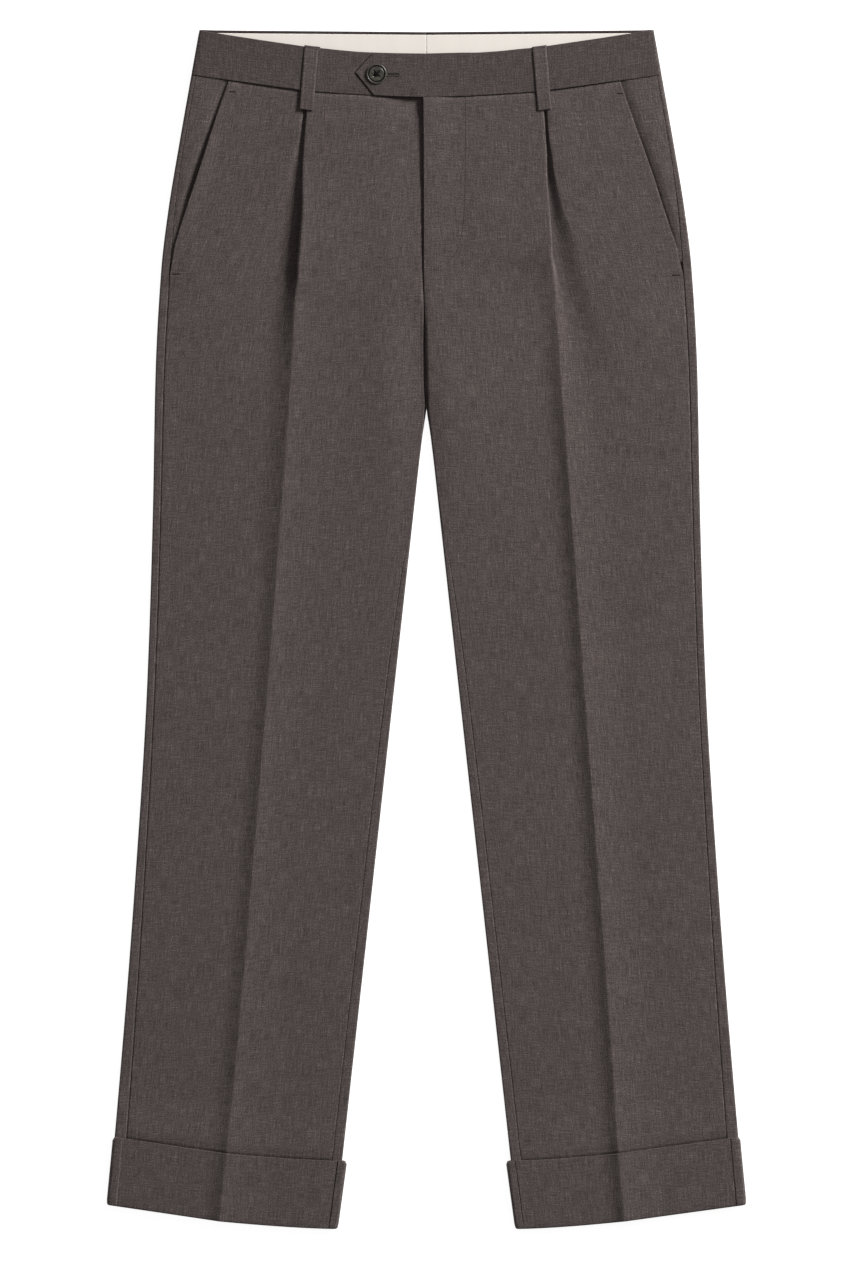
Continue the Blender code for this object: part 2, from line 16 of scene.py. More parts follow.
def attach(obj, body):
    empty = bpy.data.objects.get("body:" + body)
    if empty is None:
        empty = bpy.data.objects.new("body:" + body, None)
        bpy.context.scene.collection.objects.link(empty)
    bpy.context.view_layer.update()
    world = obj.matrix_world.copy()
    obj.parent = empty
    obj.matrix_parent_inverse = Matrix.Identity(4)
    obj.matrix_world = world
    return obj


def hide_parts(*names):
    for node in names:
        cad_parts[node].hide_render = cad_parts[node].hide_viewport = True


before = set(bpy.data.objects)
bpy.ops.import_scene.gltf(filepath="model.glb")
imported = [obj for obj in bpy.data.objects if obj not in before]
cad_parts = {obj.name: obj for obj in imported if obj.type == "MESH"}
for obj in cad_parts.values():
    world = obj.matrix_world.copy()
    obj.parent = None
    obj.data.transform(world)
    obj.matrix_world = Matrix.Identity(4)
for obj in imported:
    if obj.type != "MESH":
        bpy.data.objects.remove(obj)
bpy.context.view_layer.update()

MM = 0.001
LENGTH = 1103.0
RIGHT, LEFT = -1, 1
SIDE_NAMES = {RIGHT: "right", LEFT: "left"}

# Thickness of each cloth, and the gaps at a seam and between layers.
CLOTH = 1.2
BAND_CLOTH = 1.6
LINING_CLOTH = 0.8
SEAM_GAP = 0.3
LAYER_GAP = 0.4
LEAST_GAP = 0.1

# How much lower the rows hang at the crease and at the centre line than at the side.
DROP_TO_CREASE = 15.0
DROP_TO_CENTRE_WAIST = 5.5
DROP_TO_CENTRE_HEM = 7.0
DROP_POWER = 1.5

# Drops of the waist seam, the crotch, the inseam, the hem and the leg inside its turn-up.
WAIST = 41.25
CROTCH = 316.5
INSEAM_JOINED = 400.0
INSEAM_ROLLED = 445.0
HEM = 1081.0
LEG_END = 1077.0

CREASE_LEAN = 3.5  # both creases lean this far to the wearer's right at the hem
INNER_SLOPE = 0.1104
CROTCH_GAP = 0.03


class Table:
    """Rows of named values over a first column, joined by smooth curves that never pass beyond a row."""

    def __init__(self, names, *rows):
        self.names = names.split()
        self.rows = rows

    def secant(self, column, index):
        run = self.rows[index + 1][0] - self.rows[index][0]
        return (self.rows[index + 1][column] - self.rows[index][column]) / run

    def slope(self, column, index):
        before = self.secant(column, max(index - 1, 0))
        after = self.secant(column, min(index, len(self.rows) - 2))
        if before * after <= 0:
            return 0.0
        return 2 * before * after / (before + after)

    def read(self, name, at):
        column = self.names.index(name)
        at = min(max(at, self.rows[0][0]), self.rows[-1][0])
        index = max(i for i in range(len(self.rows) - 1) if self.rows[i][0] <= at)
        low, high = self.rows[index], self.rows[index + 1]
        run = high[0] - low[0]
        t = (at - low[0]) / run
        leave = self.slope(column, index) * run
        arrive = self.slope(column, index + 1) * run
        return ((1 + 2 * t) * (1 - t) ** 2 * low[column] + t * (1 - t) ** 2 * leave
                + t * t * (3 - 2 * t) * high[column] - t * t * (1 - t) * arrive)


# Halves of a leg: its outer edge, the back's strip that shows there, and the crease.
OUTLINE = Table("drop outer strip crease",
    (41.4, 216.3, 4.2, 107.0), (101, 226.8, 4.2, 111.2), (165, 237.4, 6.0, 115.8),
    (220, 244.0, 8.0, 119.3), (CROTCH, 249.3, 7.6, 125.9), (INSEAM_ROLLED, 251.8, 6.8, 135.0),
    (600, 256.9, 6.7, 146.6), (800, 269.3, 8.2, 162.4), (1000, 285.3, 10.5, 178.8),
    (HEM, 292.9, 11.5, 186.5))
# The back's strip that shows along the inseam.
INSEAM = Table("drop strip", (INSEAM_ROLLED, 0.5), (470, 4.6), (600, 8.3), (800, 9.2), (HEM, 9.6))
# The pocket mouth's edge, and its height.
POCKET = Table("drop edge rise",
    (41, 180.4, 6.1), (75, 191.5, 5.7), (101, 199.4, 5.4), (149, 215.7, 4.8), (185, 227.6, 4.4),
    (200, 231.8, 4.1), (214, 234.2, 3.7), (226, 236.2, 3.0), (236, 237.2, 2.57))
FACING_COVER = 12.0
FACING_BUTTS = 200
FACING_END = 214
# Each mouth lies this far outside that edge.
MOUTH_SHIFT = {
    RIGHT: Table("drop out",
        (41, 1.2), (75, 1.6), (101, 1.9), (130, 1.2), (153, 0.8), (185, 0.4), (214, 0.1), (226, 0.0)),
    LEFT: Table("drop out",
        (41, -2.5), (61, -2.6), (85, -2.1), (107, -1.1), (130, -1.1), (153, -1.8), (177, -2.2),
        (200, -1.4), (214, -0.6), (226, 0.0))}
# The facing falls this far under the mouth, within these distances of it.
FACING_DIP = {
    RIGHT: Table("drop dip",
        (44, 0.0), (80, 0.3), (105, 0.9), (140, 1.2), (160, 0.6), (190, 0.1), (205, 0.0)),
    LEFT: Table("drop dip",
        (44, 0.3), (62, 0.6), (84, 0.5), (106, 1.05), (150, 0.9), (190, 0.7), (205, 0.0))}
FACING_FALL = {RIGHT: (11.0, 6.5), LEFT: (8.0, 2.6)}
FACING_BULGE = 0.5
FACING_BULGE_ENDS = (170, 200)
FACING_BULGE_RUN = 25
FACING_STEPS = 18

# Heights: under the back panel, at the outer edge and near the centre line.
RISE = Table("drop under side middle",
    (41, 1.6, 5.4, 7.1), (64, 1.6, 5.1, 6.8), (85, 1.25, 4.8, 6.5), (110, 0.9, 4.3, 6.2),
    (170, 0.3, 3.3, 5.4), (214, 0.0, 2.65, 4.9), (255, 0.0, 2.5, 5.2), (285, 0.0, 2.45, 5.7),
    (CROTCH, 0.0, 2.4, 6.2), (356, 0.0, 2.4, 5.4), (INSEAM_JOINED, 0.0, 2.4, 4.2),
    (INSEAM_ROLLED, 0.0, 2.4, 3.2), (520, 0.0, 2.4, 2.4))

# Outside the pleat: its open valley, the wall beyond it and the flank half way to the side.
VALLEY = {
    RIGHT: Table("drop valley floor width wall flank",
        (41, 3.9, 0, 2.2, 6.0, 5.8),
        (64, 3.6, 0, 2.6, 5.8, 5.6),
        (85, 3.2, 0, 4.5, 5.2, 5.3),
        (102, 2.9, 0, 8, 4.4, 4.9),
        (118, 2.6, 0, 12, 3.9, 4.5),
        (135, 2.4, 1, 14, 3.5, 4.1),
        (155, 2.1, 5, 15, 2.9, 3.8),
        (176, 1.9, 8, 17, 2.6, 3.5),
        (214, 1.9, 8, 20, 2.5, 3.2),
        (240, 2.0, 3, 22, 2.5, 3.0),
        (265, 2.1, 2, 24, 2.5, 2.8),
        (290, 2.2, 2, 26, 2.6, 2.7),
        (340, 2.4, 2, 28, 2.5, 2.5),
        (INSEAM_JOINED, 2.4, 3, 28, 2.4, 2.4),
        (520, 2.4, 3, 28, 2.4, 2.4)),
    LEFT: Table("drop valley floor width wall flank",
        (41, 3.9, 0, 1.8, 6.4, 6.0),
        (64, 3.6, 0, 1.8, 6.5, 5.9),
        (85, 3.3, 0, 2, 6.7, 5.8),
        (102, 2.9, 0, 4, 6.6, 5.8),
        (118, 2.6, 0, 6, 6.4, 5.7),
        (135, 2.3, 0, 9, 6.1, 5.6),
        (155, 2.1, 0, 12.5, 5.9, 5.5),
        (176, 1.9, 1, 18, 5.7, 5.3),
        (192, 2.1, 1.5, 20.5, 5.7, 5.1),
        (206, 2.4, 1.5, 20, 5.5, 4.9),
        (220, 2.4, 1, 20, 5.1, 4.6),
        (235, 2.3, 1, 21, 4.6, 4.1),
        (261, 2.2, 1, 24, 3.7, 3.5),
        (300, 2.2, 2, 27, 2.9, 2.9),
        (340, 2.4, 6, 28, 2.5, 2.5),
        (520, 2.4, 3, 28, 2.4, 2.4))}
# The flank lies this far outside the top of the wall, at most.
FLANK_REACH = {RIGHT: 38.0, LEFT: 58.0}

# The pleat: its turn and depth, and arcs at its foot, over its fold and where it settles.
PLEAT = {
    RIGHT: Table("drop turn depth foot_arc fold_arc settle_arc",
        (41, 180, 16.0, 2.5, 2.5, 26),
        (85, 180, 14.0, 2.7, 2.7, 34),
        (102, 180, 12.5, 2.9, 3.0, 46),
        (118, 180, 11.5, 3.2, 4.0, 56),
        (135, 180, 10.5, 3.5, 5.2, 62),
        (155, 180, 9.5, 3.9, 6.6, 70),
        (176, 180, 8.0, 4.2, 7.6, 76),
        (198, 178, 5.5, 4.2, 7.2, 76),
        (209, 140, 0.9, 4.0, 4.6, 74),
        (220, 62, 2.2, 6.8, 2.9, 70),
        (230, 33, 3.6, 12.0, 2.4, 64),
        (242, 25, 4.4, 15.0, 2.1, 58),
        (262, 20, 4.8, 17.0, 1.8, 54),
        (290, 16, 4.6, 18.0, 1.6, 50),
        (344, 13.5, 4.0, 18.0, 1.5, 46),
        (420, 13.0, 3.6, 17.0, 1.3, 44),
        (520, 14.0, 3.4, 13.0, 1.3, 44),
        (HEM, 14.0, 3.4, 12.5, 1.3, 44)),
    LEFT: Table("drop turn depth foot_arc fold_arc settle_arc",
        (41, 180, 16.0, 2.5, 2.5, 26),
        (85, 180, 14.0, 2.8, 2.9, 28),
        (102, 180, 13.0, 3.1, 3.2, 30),
        (150, 180, 8.5, 3.2, 3.6, 34),
        (178, 178, 5.0, 3.1, 3.5, 36),
        (186, 150, 0.5, 2.8, 3.1, 36),
        (193, 120, 0.3, 2.8, 2.8, 34),
        (202, 65, 0.7, 2.8, 2.4, 28),
        (213, 30, 1.2, 3.4, 1.9, 20),
        (224, 22, 1.6, 5.0, 1.7, 16),
        (240, 17, 2.2, 7.5, 1.5, 15),
        (261, 14, 3.0, 11.5, 1.4, 15),
        (288, 10.0, 4.0, 17.0, 1.3, 15),
        (330, 8.0, 5.0, 25.0, 1.2, 14),
        (400, 7.0, 5.0, 34.0, 1.2, 14),
        (HEM, 6.5, 5.0, 36.0, 1.2, 14))}
# The pressed edge stands up by this much.
BEAD = {
    RIGHT: Table("drop rise",
        (41, 0.0), (100, 0.2), (150, 0.8), (225, 0.8), (260, 0.6), (400, 0.35), (HEM, 0.3)),
    LEFT: Table("drop rise", (41, 0.0), (205, 0.0), (240, 0.3), (300, 0.45), (400, 0.5), (HEM, 0.4))}
BEAD_REACH = 6.0
# It lies this far outside the pattern's crease.
CREASE_SHIFT = {
    RIGHT: Table("drop out",
        (41, 1.8), (95, 2.6), (125, 1.8), (150, 0.2), (178, 0.4), (206, 1.2), (233, 1.3), (265, 0.3),
        (300, -0.3), (420, -0.7), (800, -0.7), (950, 0.1), (1010, 1.0), (HEM, 1.0)),
    LEFT: Table("drop out",
        (41, 0.0), (95, 0.0), (125, -1.2), (150, -0.8), (178, -0.3), (206, 0.0), (300, 0.2), (400, 1.2),
        (500, 1.8), (800, 1.9), (950, 1.2), (1010, -0.1), (HEM, 0.0))}
FOLD_RUN = 3.5  # straight cloth after the fold
FOOT_ROOM = 1.5  # least distance of the valley from the pleat's foot
FOLD_ROOM = 1.2  # and from the pressed edge
LEAST_FLOOR = 0.3
LEAST_FLANK = 0.3  # least share of the way from the valley to the edge beyond the wall
# The cloth between the pleat and the fly stands this much higher than at the fly.
PUFF = {
    RIGHT: Table("drop puff",
        (60, 0.0), (130, 1.0), (180, 1.3), (215, 0.9), (245, 0.0), (275, -1.2), (316, -2.4), (356, -2.0),
        (400, -1.1), (445, -0.4), (520, 0.0)),
    LEFT: Table("drop puff",
        (60, 0.0), (130, 0.4), (165, 0.5), (185, 0.1), (206, -1.3), (233, -2.1), (261, -2.4), (288, -3.1),
        (316, -3.6), (356, -3.0), (400, -1.8), (445, -0.8), (520, 0.0))}

# The leg is lifted where the back of its turn-up lies under it.
HEM_LIFT = Table("drop lift", (975, 0.0), (1010, CLOTH + LAYER_GAP))

# The fly: where each front ends past the centre line, how far the right one dips and the left one stands up.
FLY = Table("drop left_end right_end dip lift",
    (41, -2.8, -8.0, 2.2, 1.7),
    (62, -2.6, -8.0, 1.3, 1.9),
    (99, -2.4, -8.0, 0.6, 1.8),
    (135, -2.3, -8.0, 0.4, 1.4),
    (172, -2.3, -1.0, 0.2, 1.1),
    (192, -2.3, 2.36, 0.1, 0.8),
    (215, -2.1, 2.16, 0.0, 0.4),
    (238, -1.8, 1.86, 0.0, 0.1),
    (260, -1.4, 1.46, 0.0, 0.0),
    (283, -0.9, 0.96, 0.0, 0.0),
    (306, -0.4, 0.46, 0.0, 0.0),
    (CROTCH, CROTCH_GAP, CROTCH_GAP, 0.0, 0.0))
FLY_TRENCH = Table("drop fall", (41, 0.9), (100, 1.0), (180, 1.2), (205, 1.0), (225, 0.5), (245, 0.0))
FLY_TRENCH_REACH = (3.0, 5.2)  # the right front is pressed down along the fly's edge
BACK_CREASE = 0.35  # the pressed line under each leg
BACK_CREASE_DROPS = (130, 210)
BACK_CREASE_HALVES = (1.0, 2.4)
BACK_CREASE_SIDES = 0.3  # its share of height at the first of these
FLY_DIP = (3.0, 48.0)  # halves between which the right front's dip runs out
FLY_LIFT = (2.0, 36.0)  # and the left front's lift
TAB_DIP = 1.7  # lower still under the tab
TAB_DIP_REACH = (5.0, 58.0)
TAB_DIP_RUN = 24.0
WAIST_DIP = 1.05  # every panel's top edge turns down into the waist seam
WAIST_DIP_REACH = 3.4
# The fronts' edges are lifted along the pocket mouths, and rolled in.
MOUTH_LIFT = Table("drop lift",
    (44, 0.0), (75, 0.5), (101, 1.3), (126, 1.7), (146, 1.5), (166, 0.7), (190, 0.1), (212, 0.0))
MOUTH_SHARE = {RIGHT: 1.0, LEFT: 0.2}
MOUTH_ROLL = {RIGHT: 0.0, LEFT: 0.55}
MOUTH_REACH = 14.0

EDGE_STEPS = (0.4, 0.9, 1.6)  # columns just inside an edge
EDGE_MOST = 0.8  # of the way to the next column
EDGE_DIPS = (0.5, 0.22, 0.06, 0.0)  # how far a seam turns in, from its edge inwards
SEAM_OPEN = 0.36  # a seam's line is this much wider than the gap of the solids
OPEN_MOST = 0.5  # of the way to the next column
# The fronts slope into the groove between the legs: how deep, and over what reach.
GROOVE = {
    RIGHT: Table("drop fall reach",
        (226, 0.0, 20), (238, 1.5, 28), (250, 2.2, 34), (265, 2.8, 38), (300, 3.3, 40), (CROTCH, 3.3, 40),
        (345, 2.5, 34), (400, 1.1, 24), (INSEAM_ROLLED, 0.0, 12)),
    LEFT: Table("drop fall reach",
        (228, 0.0, 4), (240, 0.1, 4), (262, 0.2, 5), (285, 0.5, 6), (305, 0.9, 7), (330, 1.2, 8),
        (360, 1.1, 9), (400, 0.6, 10), (INSEAM_ROLLED, 0.0, 12))}
# The fronts stay this far apart over the crotch, where the legs begin to part.
SLOT = {
    RIGHT: Table("drop half",
        (226, 0.0), (240, 0.5), (260, 1.0), (285, 1.5), (305, 1.9), (320, 1.7), (335, 0.9), (360, 0.0)),
    LEFT: Table("drop half",
        (226, 0.0), (240, 0.2), (260, 0.3), (285, 0.4), (305, 0.6), (320, 0.9), (335, 0.6), (360, 0.0))}
# Under the slot the backs' inner edges are pressed down to this share of their height.
PRESSED = Table("drop share", (226, 1.0), (245, 0.6), (265, 0.4), (CROTCH, 0.4), (330, 0.6), (348, 1.0))
PRESSED_REACH = 7.0
PRESSED_END = 0.1  # they end this far past the leg's inner edge
PRESSED_FULLY = 0.3  # and do so where they are pressed by this share or more
# The legs touch for a little longer than their straight inner edges would.
TOUCHING = Table("drop inwards",
    (CROTCH, 0.0), (324, 0.8), (330, 0.72), (338, 0.5), (347, 0.42), (358, 0.2), (380, 0.0))
# How far the inner ends turn: the front's down, and the back's up.
ENDS = Table("drop front back",
    (200, 0, 0), (236, 26, 16), (255, 42, 36), (285, 66, 64), (CROTCH, 90, 90), (INSEAM_JOINED, 90, 90),
    (INSEAM_ROLLED, 0, 180))

SEAM_STUB = 0.3  # straight cloth beyond a rolled seam
# Columns of each stretch of a section.
STEPS = {"flank": 16, "wall": 16, "floor": 3, "foot": 8, "depth": 3, "fold": 9, "run": 2, "settle": 16,
         "middle": 16, "end": 8, "strip": 4, "roll": 12, "under": 24}
EDGE = 0.5  # the last column lies this far inside an edge, so that only the edge turns


def smooth(share):
    return share * share * (3 - 2 * share)


def growth(value, start, end):
    """0 up to start and 1 from end."""
    return smooth(min(max((value - start) / (end - start), 0), 1))


def fade(value, start, end):
    """1 up to start and 0 from end."""
    return 1 - growth(value, start, end)


def place(side, half, rise, drop):
    return (side * half, LENGTH / 2 - drop, rise)


def crease_half(side, drop):
    lean = side * CREASE_LEAN * drop / HEM
    return OUTLINE.read("crease", drop) - lean + CREASE_SHIFT[side].read("out", drop)


def inner_half(drop):
    return CROTCH_GAP + max(INNER_SLOPE * max(drop - CROTCH, 0) - TOUCHING.read("inwards", drop), 0)


def section_drop(side, half, drop):
    """How much lower a point of a section lies than the section's outer edge."""
    outer = OUTLINE.read("outer", drop)
    crease = crease_half(side, drop)
    if half > crease:
        return DROP_TO_CREASE * (outer - half) / (outer - crease)
    inward = min((crease - abs(half)) / (crease - inner_half(drop)), 1.0)
    to_centre = DROP_TO_CENTRE_WAIST + (DROP_TO_CENTRE_HEM - DROP_TO_CENTRE_WAIST) * drop / HEM
    return DROP_TO_CREASE + to_centre * (1 - (1 - inward) ** DROP_POWER)


def place_front(side, half, rise, drop):
    return place(side, half, rise, drop + section_drop(side, half, drop))


def place_back(side, half, rise, drop):
    """The back is cut straight at the waist, and follows the front at the outseam and below the crotch."""
    low = back_rise(drop)
    height = min(max((rise - low) / (RISE.read("side", drop) - low), 0), 1)
    follow = height + (1 - height) * growth(drop, WAIST, CROTCH)
    return place(side, half, rise, drop + section_drop(side, half, drop) * follow)


def walk(start, heading, *moves):
    """A path from start: heading 0 runs towards the centre line, 90 up and 180 outwards."""
    points = [start]
    for length, turn, steps in moves:
        half_step = math.radians(turn / steps / 2)
        chord = length / steps
        if half_step:
            chord *= math.sin(half_step) / half_step
        for _ in range(steps):
            angle = math.radians(heading) + half_step
            half, rise = points[-1]
            points.append((half - chord * math.cos(angle), rise + chord * math.sin(angle)))
            heading += turn / steps
    return points


def moved(points, half, rise):
    return [(point[0] + half, point[1] + rise) for point in points]


def through(knots, steps):
    """A smooth path through knots of (half, rise), after the first: steps[i] points reach knot i + 1."""
    ahead = [(-half, rise) for half, rise in knots]
    curve = Table("along rise", *ahead)
    points = []
    for (start, _), (end, _), count in zip(ahead, ahead[1:], steps):
        for step in range(count):
            along = start + (end - start) * (step + 1) / count
            points.append((-along, curve.read("rise", along)))
    return points


def back_rise(drop):
    return RISE.read("under", drop) + CLOTH / 2


def seam_roll_radius(drop):
    """Radius of the half roll that brings the back's inner end up to the front's."""
    height = RISE.read("middle", drop) - back_rise(drop)
    straight = SEAM_GAP + 2 * SEAM_STUB
    return (height - straight * math.sin(math.radians(ENDS.read("back", drop)))) / 2


def end_arc(turn, drop):
    """Length of the arc over which an inner end turns."""
    if drop <= CROTCH or not turn:
        return seam_roll_radius(CROTCH) * math.pi / 2
    return seam_roll_radius(drop) * math.radians(turn)


def inseam_strip(drop):
    if drop < INSEAM_ROLLED:
        return SEAM_STUB
    return max(SEAM_STUB, INSEAM.read("strip", drop) - CLOTH / 2 - seam_roll_radius(drop))


def outseam_half(drop):
    return OUTLINE.read("outer", drop) - OUTLINE.read("strip", drop) - SEAM_GAP


def mouth_half(side, drop):
    return POCKET.read("edge", drop) + MOUTH_SHIFT[side].read("out", drop)


def front_outer_half(side, drop):
    seam = outseam_half(drop)
    if drop > POCKET.rows[-1][0]:
        return seam
    return min(seam, mouth_half(side, drop))


def back_ending(drop):
    """The inner end of the back panel: flat at the seat seam, and turned up from there to the inseam."""
    turn_up = ENDS.read("back", drop)
    ending = walk((0, back_rise(drop)), 0, (end_arc(turn_up, drop), turn_up, STEPS["roll"]),
                  (inseam_strip(drop), 0, STEPS["strip"]))
    innermost = min(half for half, _ in ending)
    clear = CLOTH / 2 * math.sin(math.radians(min(turn_up, 90)))
    return moved(ending, inner_half(drop) + clear - innermost, 0)


def front_end(side, drop):
    """Half at which the front panel's inner edge ends."""
    if drop < CROTCH:
        turned = CLOTH / 2 * math.sin(math.radians(ENDS.read("front", drop)))
        return FLY.read(SIDE_NAMES[side] + "_end", drop) + turned + SLOT[side].read("half", drop)
    gap = SEAM_GAP * math.cos(math.radians(ENDS.read("back", drop)))
    return back_ending(drop)[-1][0] - gap + SLOT[side].read("half", drop)


def front_section(side, drop):
    """The front panel from the outseam inwards, and its column at the crease."""
    pleat = PLEAT[side]
    outside = VALLEY[side]
    crease = crease_half(side, drop)
    valley = outside.read("valley", drop)
    middle = RISE.read("middle", drop)
    turn = pleat.read("turn", drop)
    fold_arc = pleat.read("fold_arc", drop)
    settle = pleat.read("settle_arc", drop)
    puffed = middle + PUFF[side].read("puff", drop)

    up = walk((0, valley), 0, (pleat.read("foot_arc", drop), turn, STEPS["foot"]),
              (pleat.read("depth", drop), 0, STEPS["depth"]))
    bulge = (fold_arc / math.radians(turn) + CLOTH / 2) * (1 - math.cos(math.radians(turn))) / 2
    up = moved(up, crease - bulge - up[-1][0], 0)
    over = walk(up[-1], turn, (fold_arc, -turn, STEPS["fold"]))
    tilt = math.degrees((over[-1][1] - puffed) / (FOLD_RUN + settle / 2))
    over = walk(up[-1], turn, (fold_arc, -turn - tilt, STEPS["fold"]), (FOLD_RUN, 0, STEPS["run"]),
                (settle, tilt, STEPS["settle"]))

    beaded = BEAD[side].read("rise", drop)
    up = [(half, rise + beaded * smooth(index / (len(up) - 1)))
          for index, (half, rise) in enumerate(up)]
    peak = over[STEPS["fold"] // 2][0]
    over = [(half, rise + beaded * math.exp(-(max(peak - half, 0) / BEAD_REACH) ** 2))
            for half, rise in over]

    edge = front_outer_half(side, drop)
    edge_rise = RISE.read("side", drop)
    if drop < POCKET.rows[-1][0]:
        edge_rise = POCKET.read("rise", drop)
    low = max(up[0][0] + FOOT_ROOM, crease + FOLD_ROOM)
    foot_of_wall = low + outside.read("floor", drop) + LEAST_FLOOR
    top_of_wall = min(foot_of_wall + outside.read("width", drop), edge - LEAST_FLANK * (edge - foot_of_wall))
    flank_half = min(top_of_wall + FLANK_REACH[side], (edge + top_of_wall) / 2)
    knots = [(edge, edge_rise), (flank_half, outside.read("flank", drop)),
             (top_of_wall, outside.read("wall", drop)), (foot_of_wall, valley), (low, valley)]
    points = [knots[0]]
    points += through(knots, (STEPS["flank"], STEPS["flank"], STEPS["wall"], STEPS["floor"]))
    points += up + over[1:]
    at_crease = len(points) - len(over) + STEPS["fold"] // 2

    turn_down = ENDS.read("front", drop)
    ending = walk((0, middle), 0, (end_arc(turn_down, drop), -turn_down, STEPS["end"]), (SEAM_STUB, 0, 1))
    ending = moved(ending, front_end(side, drop) - ending[-1][0], 0)
    last = points[-1]
    for step in range(1, STEPS["middle"]):
        share = step / STEPS["middle"]
        half = last[0] + (ending[0][0] - last[0]) * share
        points.append((half, puffed + (middle - puffed) * smooth(share)))
    points += ending
    points = settled(side, points, ending, middle, drop)
    points = [(half, shaped_rise(side, half, rise, drop)) for half, rise in points]
    return lifted(points, drop), at_crease


def settled(side, points, ending, middle, drop):
    """The front panel slopes into the groove between the legs before it turns down."""
    fall = GROOVE[side].read("fall", drop)
    if not fall:
        return points
    top, bottom = ending[0][0], ending[-1][1]
    reach = GROOVE[side].read("reach", drop)
    least = 1 - PRESSED.read("share", drop)
    result = []
    for half, rise in points:
        left = min(max((rise - bottom) / max(middle - bottom, LEAST_GAP), least), 1)
        result.append((half, rise - fall * left * fade(half, top, top + reach)))
    return result


def shaped_rise(side, half, rise, drop):
    """Height of a front panel with its fly, pocket mouth and waist seam."""
    change = 0.0
    if side == RIGHT:
        change -= FLY.read("dip", drop) * fade(half, *FLY_DIP)
        change -= FLY_TRENCH.read("fall", drop) * fade(half, *FLY_TRENCH_REACH)
        under_tab = TAB_DIP * fade(half, *TAB_DIP_REACH)
        change -= under_tab * fade(drop, WAIST, WAIST + TAB_DIP_RUN)
    else:
        change += FLY.read("lift", drop) * fade(half, *FLY_LIFT)
    change -= WAIST_DIP * fade(drop, WAIST, WAIST + WAIST_DIP_REACH)
    if drop < POCKET.rows[-1][0]:
        inside = front_outer_half(side, drop) - half
        change += MOUTH_SHARE[side] * MOUTH_LIFT.read("lift", drop) * fade(inside, 0, MOUTH_REACH)
    lowest = RISE.read("under", drop) + CLOTH * 1.5 + LEAST_GAP
    return max(rise + change, min(rise, lowest))


def back_section(side, drop):
    """The back panel from the outseam, round under the leg, to the inseam or the seat seam."""
    top = RISE.read("side", drop)
    low = back_rise(drop)
    radius = (top - low) / 2
    outermost = OUTLINE.read("outer", drop) - CLOTH / 2 - radius
    strip = OUTLINE.read("strip", drop) - CLOTH / 2 - radius
    points = walk((outermost - strip, top), 180, (strip, 0, STEPS["strip"]),
                  (math.pi * radius, 180, STEPS["roll"]))
    ending = back_ending(drop)
    crease = crease_half(side, drop)
    near, far = BACK_CREASE_HALVES
    fold = BACK_CREASE * growth(drop, *BACK_CREASE_DROPS)
    start = points[-1][0]
    for step in range(STEPS["under"]):
        points.append((start + (crease + far - start) * (step + 1) / STEPS["under"], low))
    at_crease = len(points) + 1
    beside = low + fold * BACK_CREASE_SIDES
    points += [(crease + near, beside), (crease, low + fold), (crease - near, beside)]
    inner = ending[0][0]
    for step in range(STEPS["under"] + 1):
        points.append((crease - far + (inner - crease + far) * step / STEPS["under"], low))
    points += ending[1:]
    return lifted(pressed_flat(points, low, drop), drop), at_crease


def pressed_flat(points, low, drop):
    """The inner edge of a back pressed down under the slot, and closed to the leg's inner edge."""
    inner = inner_half(drop)
    pressed = 1 - PRESSED.read("share", drop)
    closed = min(pressed / PRESSED_FULLY, 1) * max(points[-1][0] - inner - PRESSED_END, 0)
    result = []
    for half, rise in points:
        near = fade(half - inner, PRESSED_REACH, PRESSED_REACH * 2)
        result.append((half - closed * near, rise - (rise - low) * pressed * near))
    return result


def lifted(points, drop):
    return moved(points, 0, HEM_LIFT.read("lift", drop))


def edge_points(first, second):
    """Points just inside first, towards second."""
    first, second = np.array(first), np.array(second)
    length = max(np.linalg.norm(second - first), 1e-6)
    squeeze = min(EDGE_MOST * length / EDGE_STEPS[-1], 1)
    return [tuple(first + (second - first) * step * squeeze / length) for step in EDGE_STEPS]


def with_edges(points, dips=(0.0, 0.0)):
    """The path with columns just inside each end, and each end turned in by its share of a seam's dip."""
    points = list(points)
    for end, inside, share in ((0, 1, abs(dips[0])), (-1, -2, abs(dips[1]))):
        first, second = np.array(points[end]), np.array(points[inside])
        opened = min(SEAM_OPEN * share / np.linalg.norm(second - first), OPEN_MOST)
        points[end] = tuple(first + (second - first) * opened)
    start = [points[0], *edge_points(points[0], points[1])]
    end = [points[-1], *edge_points(points[-1], points[-2])]
    path = [*start, *points[1:-1], *end[::-1]]
    if not any(dips):
        return path
    low = offset_path(path, -1.0)
    result = list(path)
    for index, dip in enumerate(EDGE_DIPS):
        for column, share in ((index, dips[0]), (len(path) - 1 - index, dips[1])):
            high, deep = np.array(path[column]), np.array(low[column])
            result[column] = tuple(high * (1 - dip * share) + deep * (dip * share))
    return result


def offset_path(points, distance):
    """The path moved sideways: a positive distance is up where the path runs towards the centre line."""
    normals = []
    for (half, rise), (next_half, next_rise) in zip(points, points[1:]):
        run = math.hypot(next_half - half, next_rise - rise)
        normals.append(((next_rise - rise) / run, (half - next_half) / run))
    result = []
    for index, (half, rise) in enumerate(points):
        before = normals[max(index - 1, 0)]
        after = normals[min(index, len(normals) - 1)]
        share = distance / (1 + before[0] * after[0] + before[1] * after[1])
        result.append((half + share * (before[0] + after[0]), rise + share * (before[1] + after[1])))
    return result


def along(points, origin):
    """Distance along a path of points, from the point at index origin."""
    points = np.array(points)
    steps = np.linalg.norm(np.diff(points, axis=0), axis=1)
    total = np.concatenate([[0], np.cumsum(steps)])
    return total - total[origin]


# -------------------------------------------------- shells

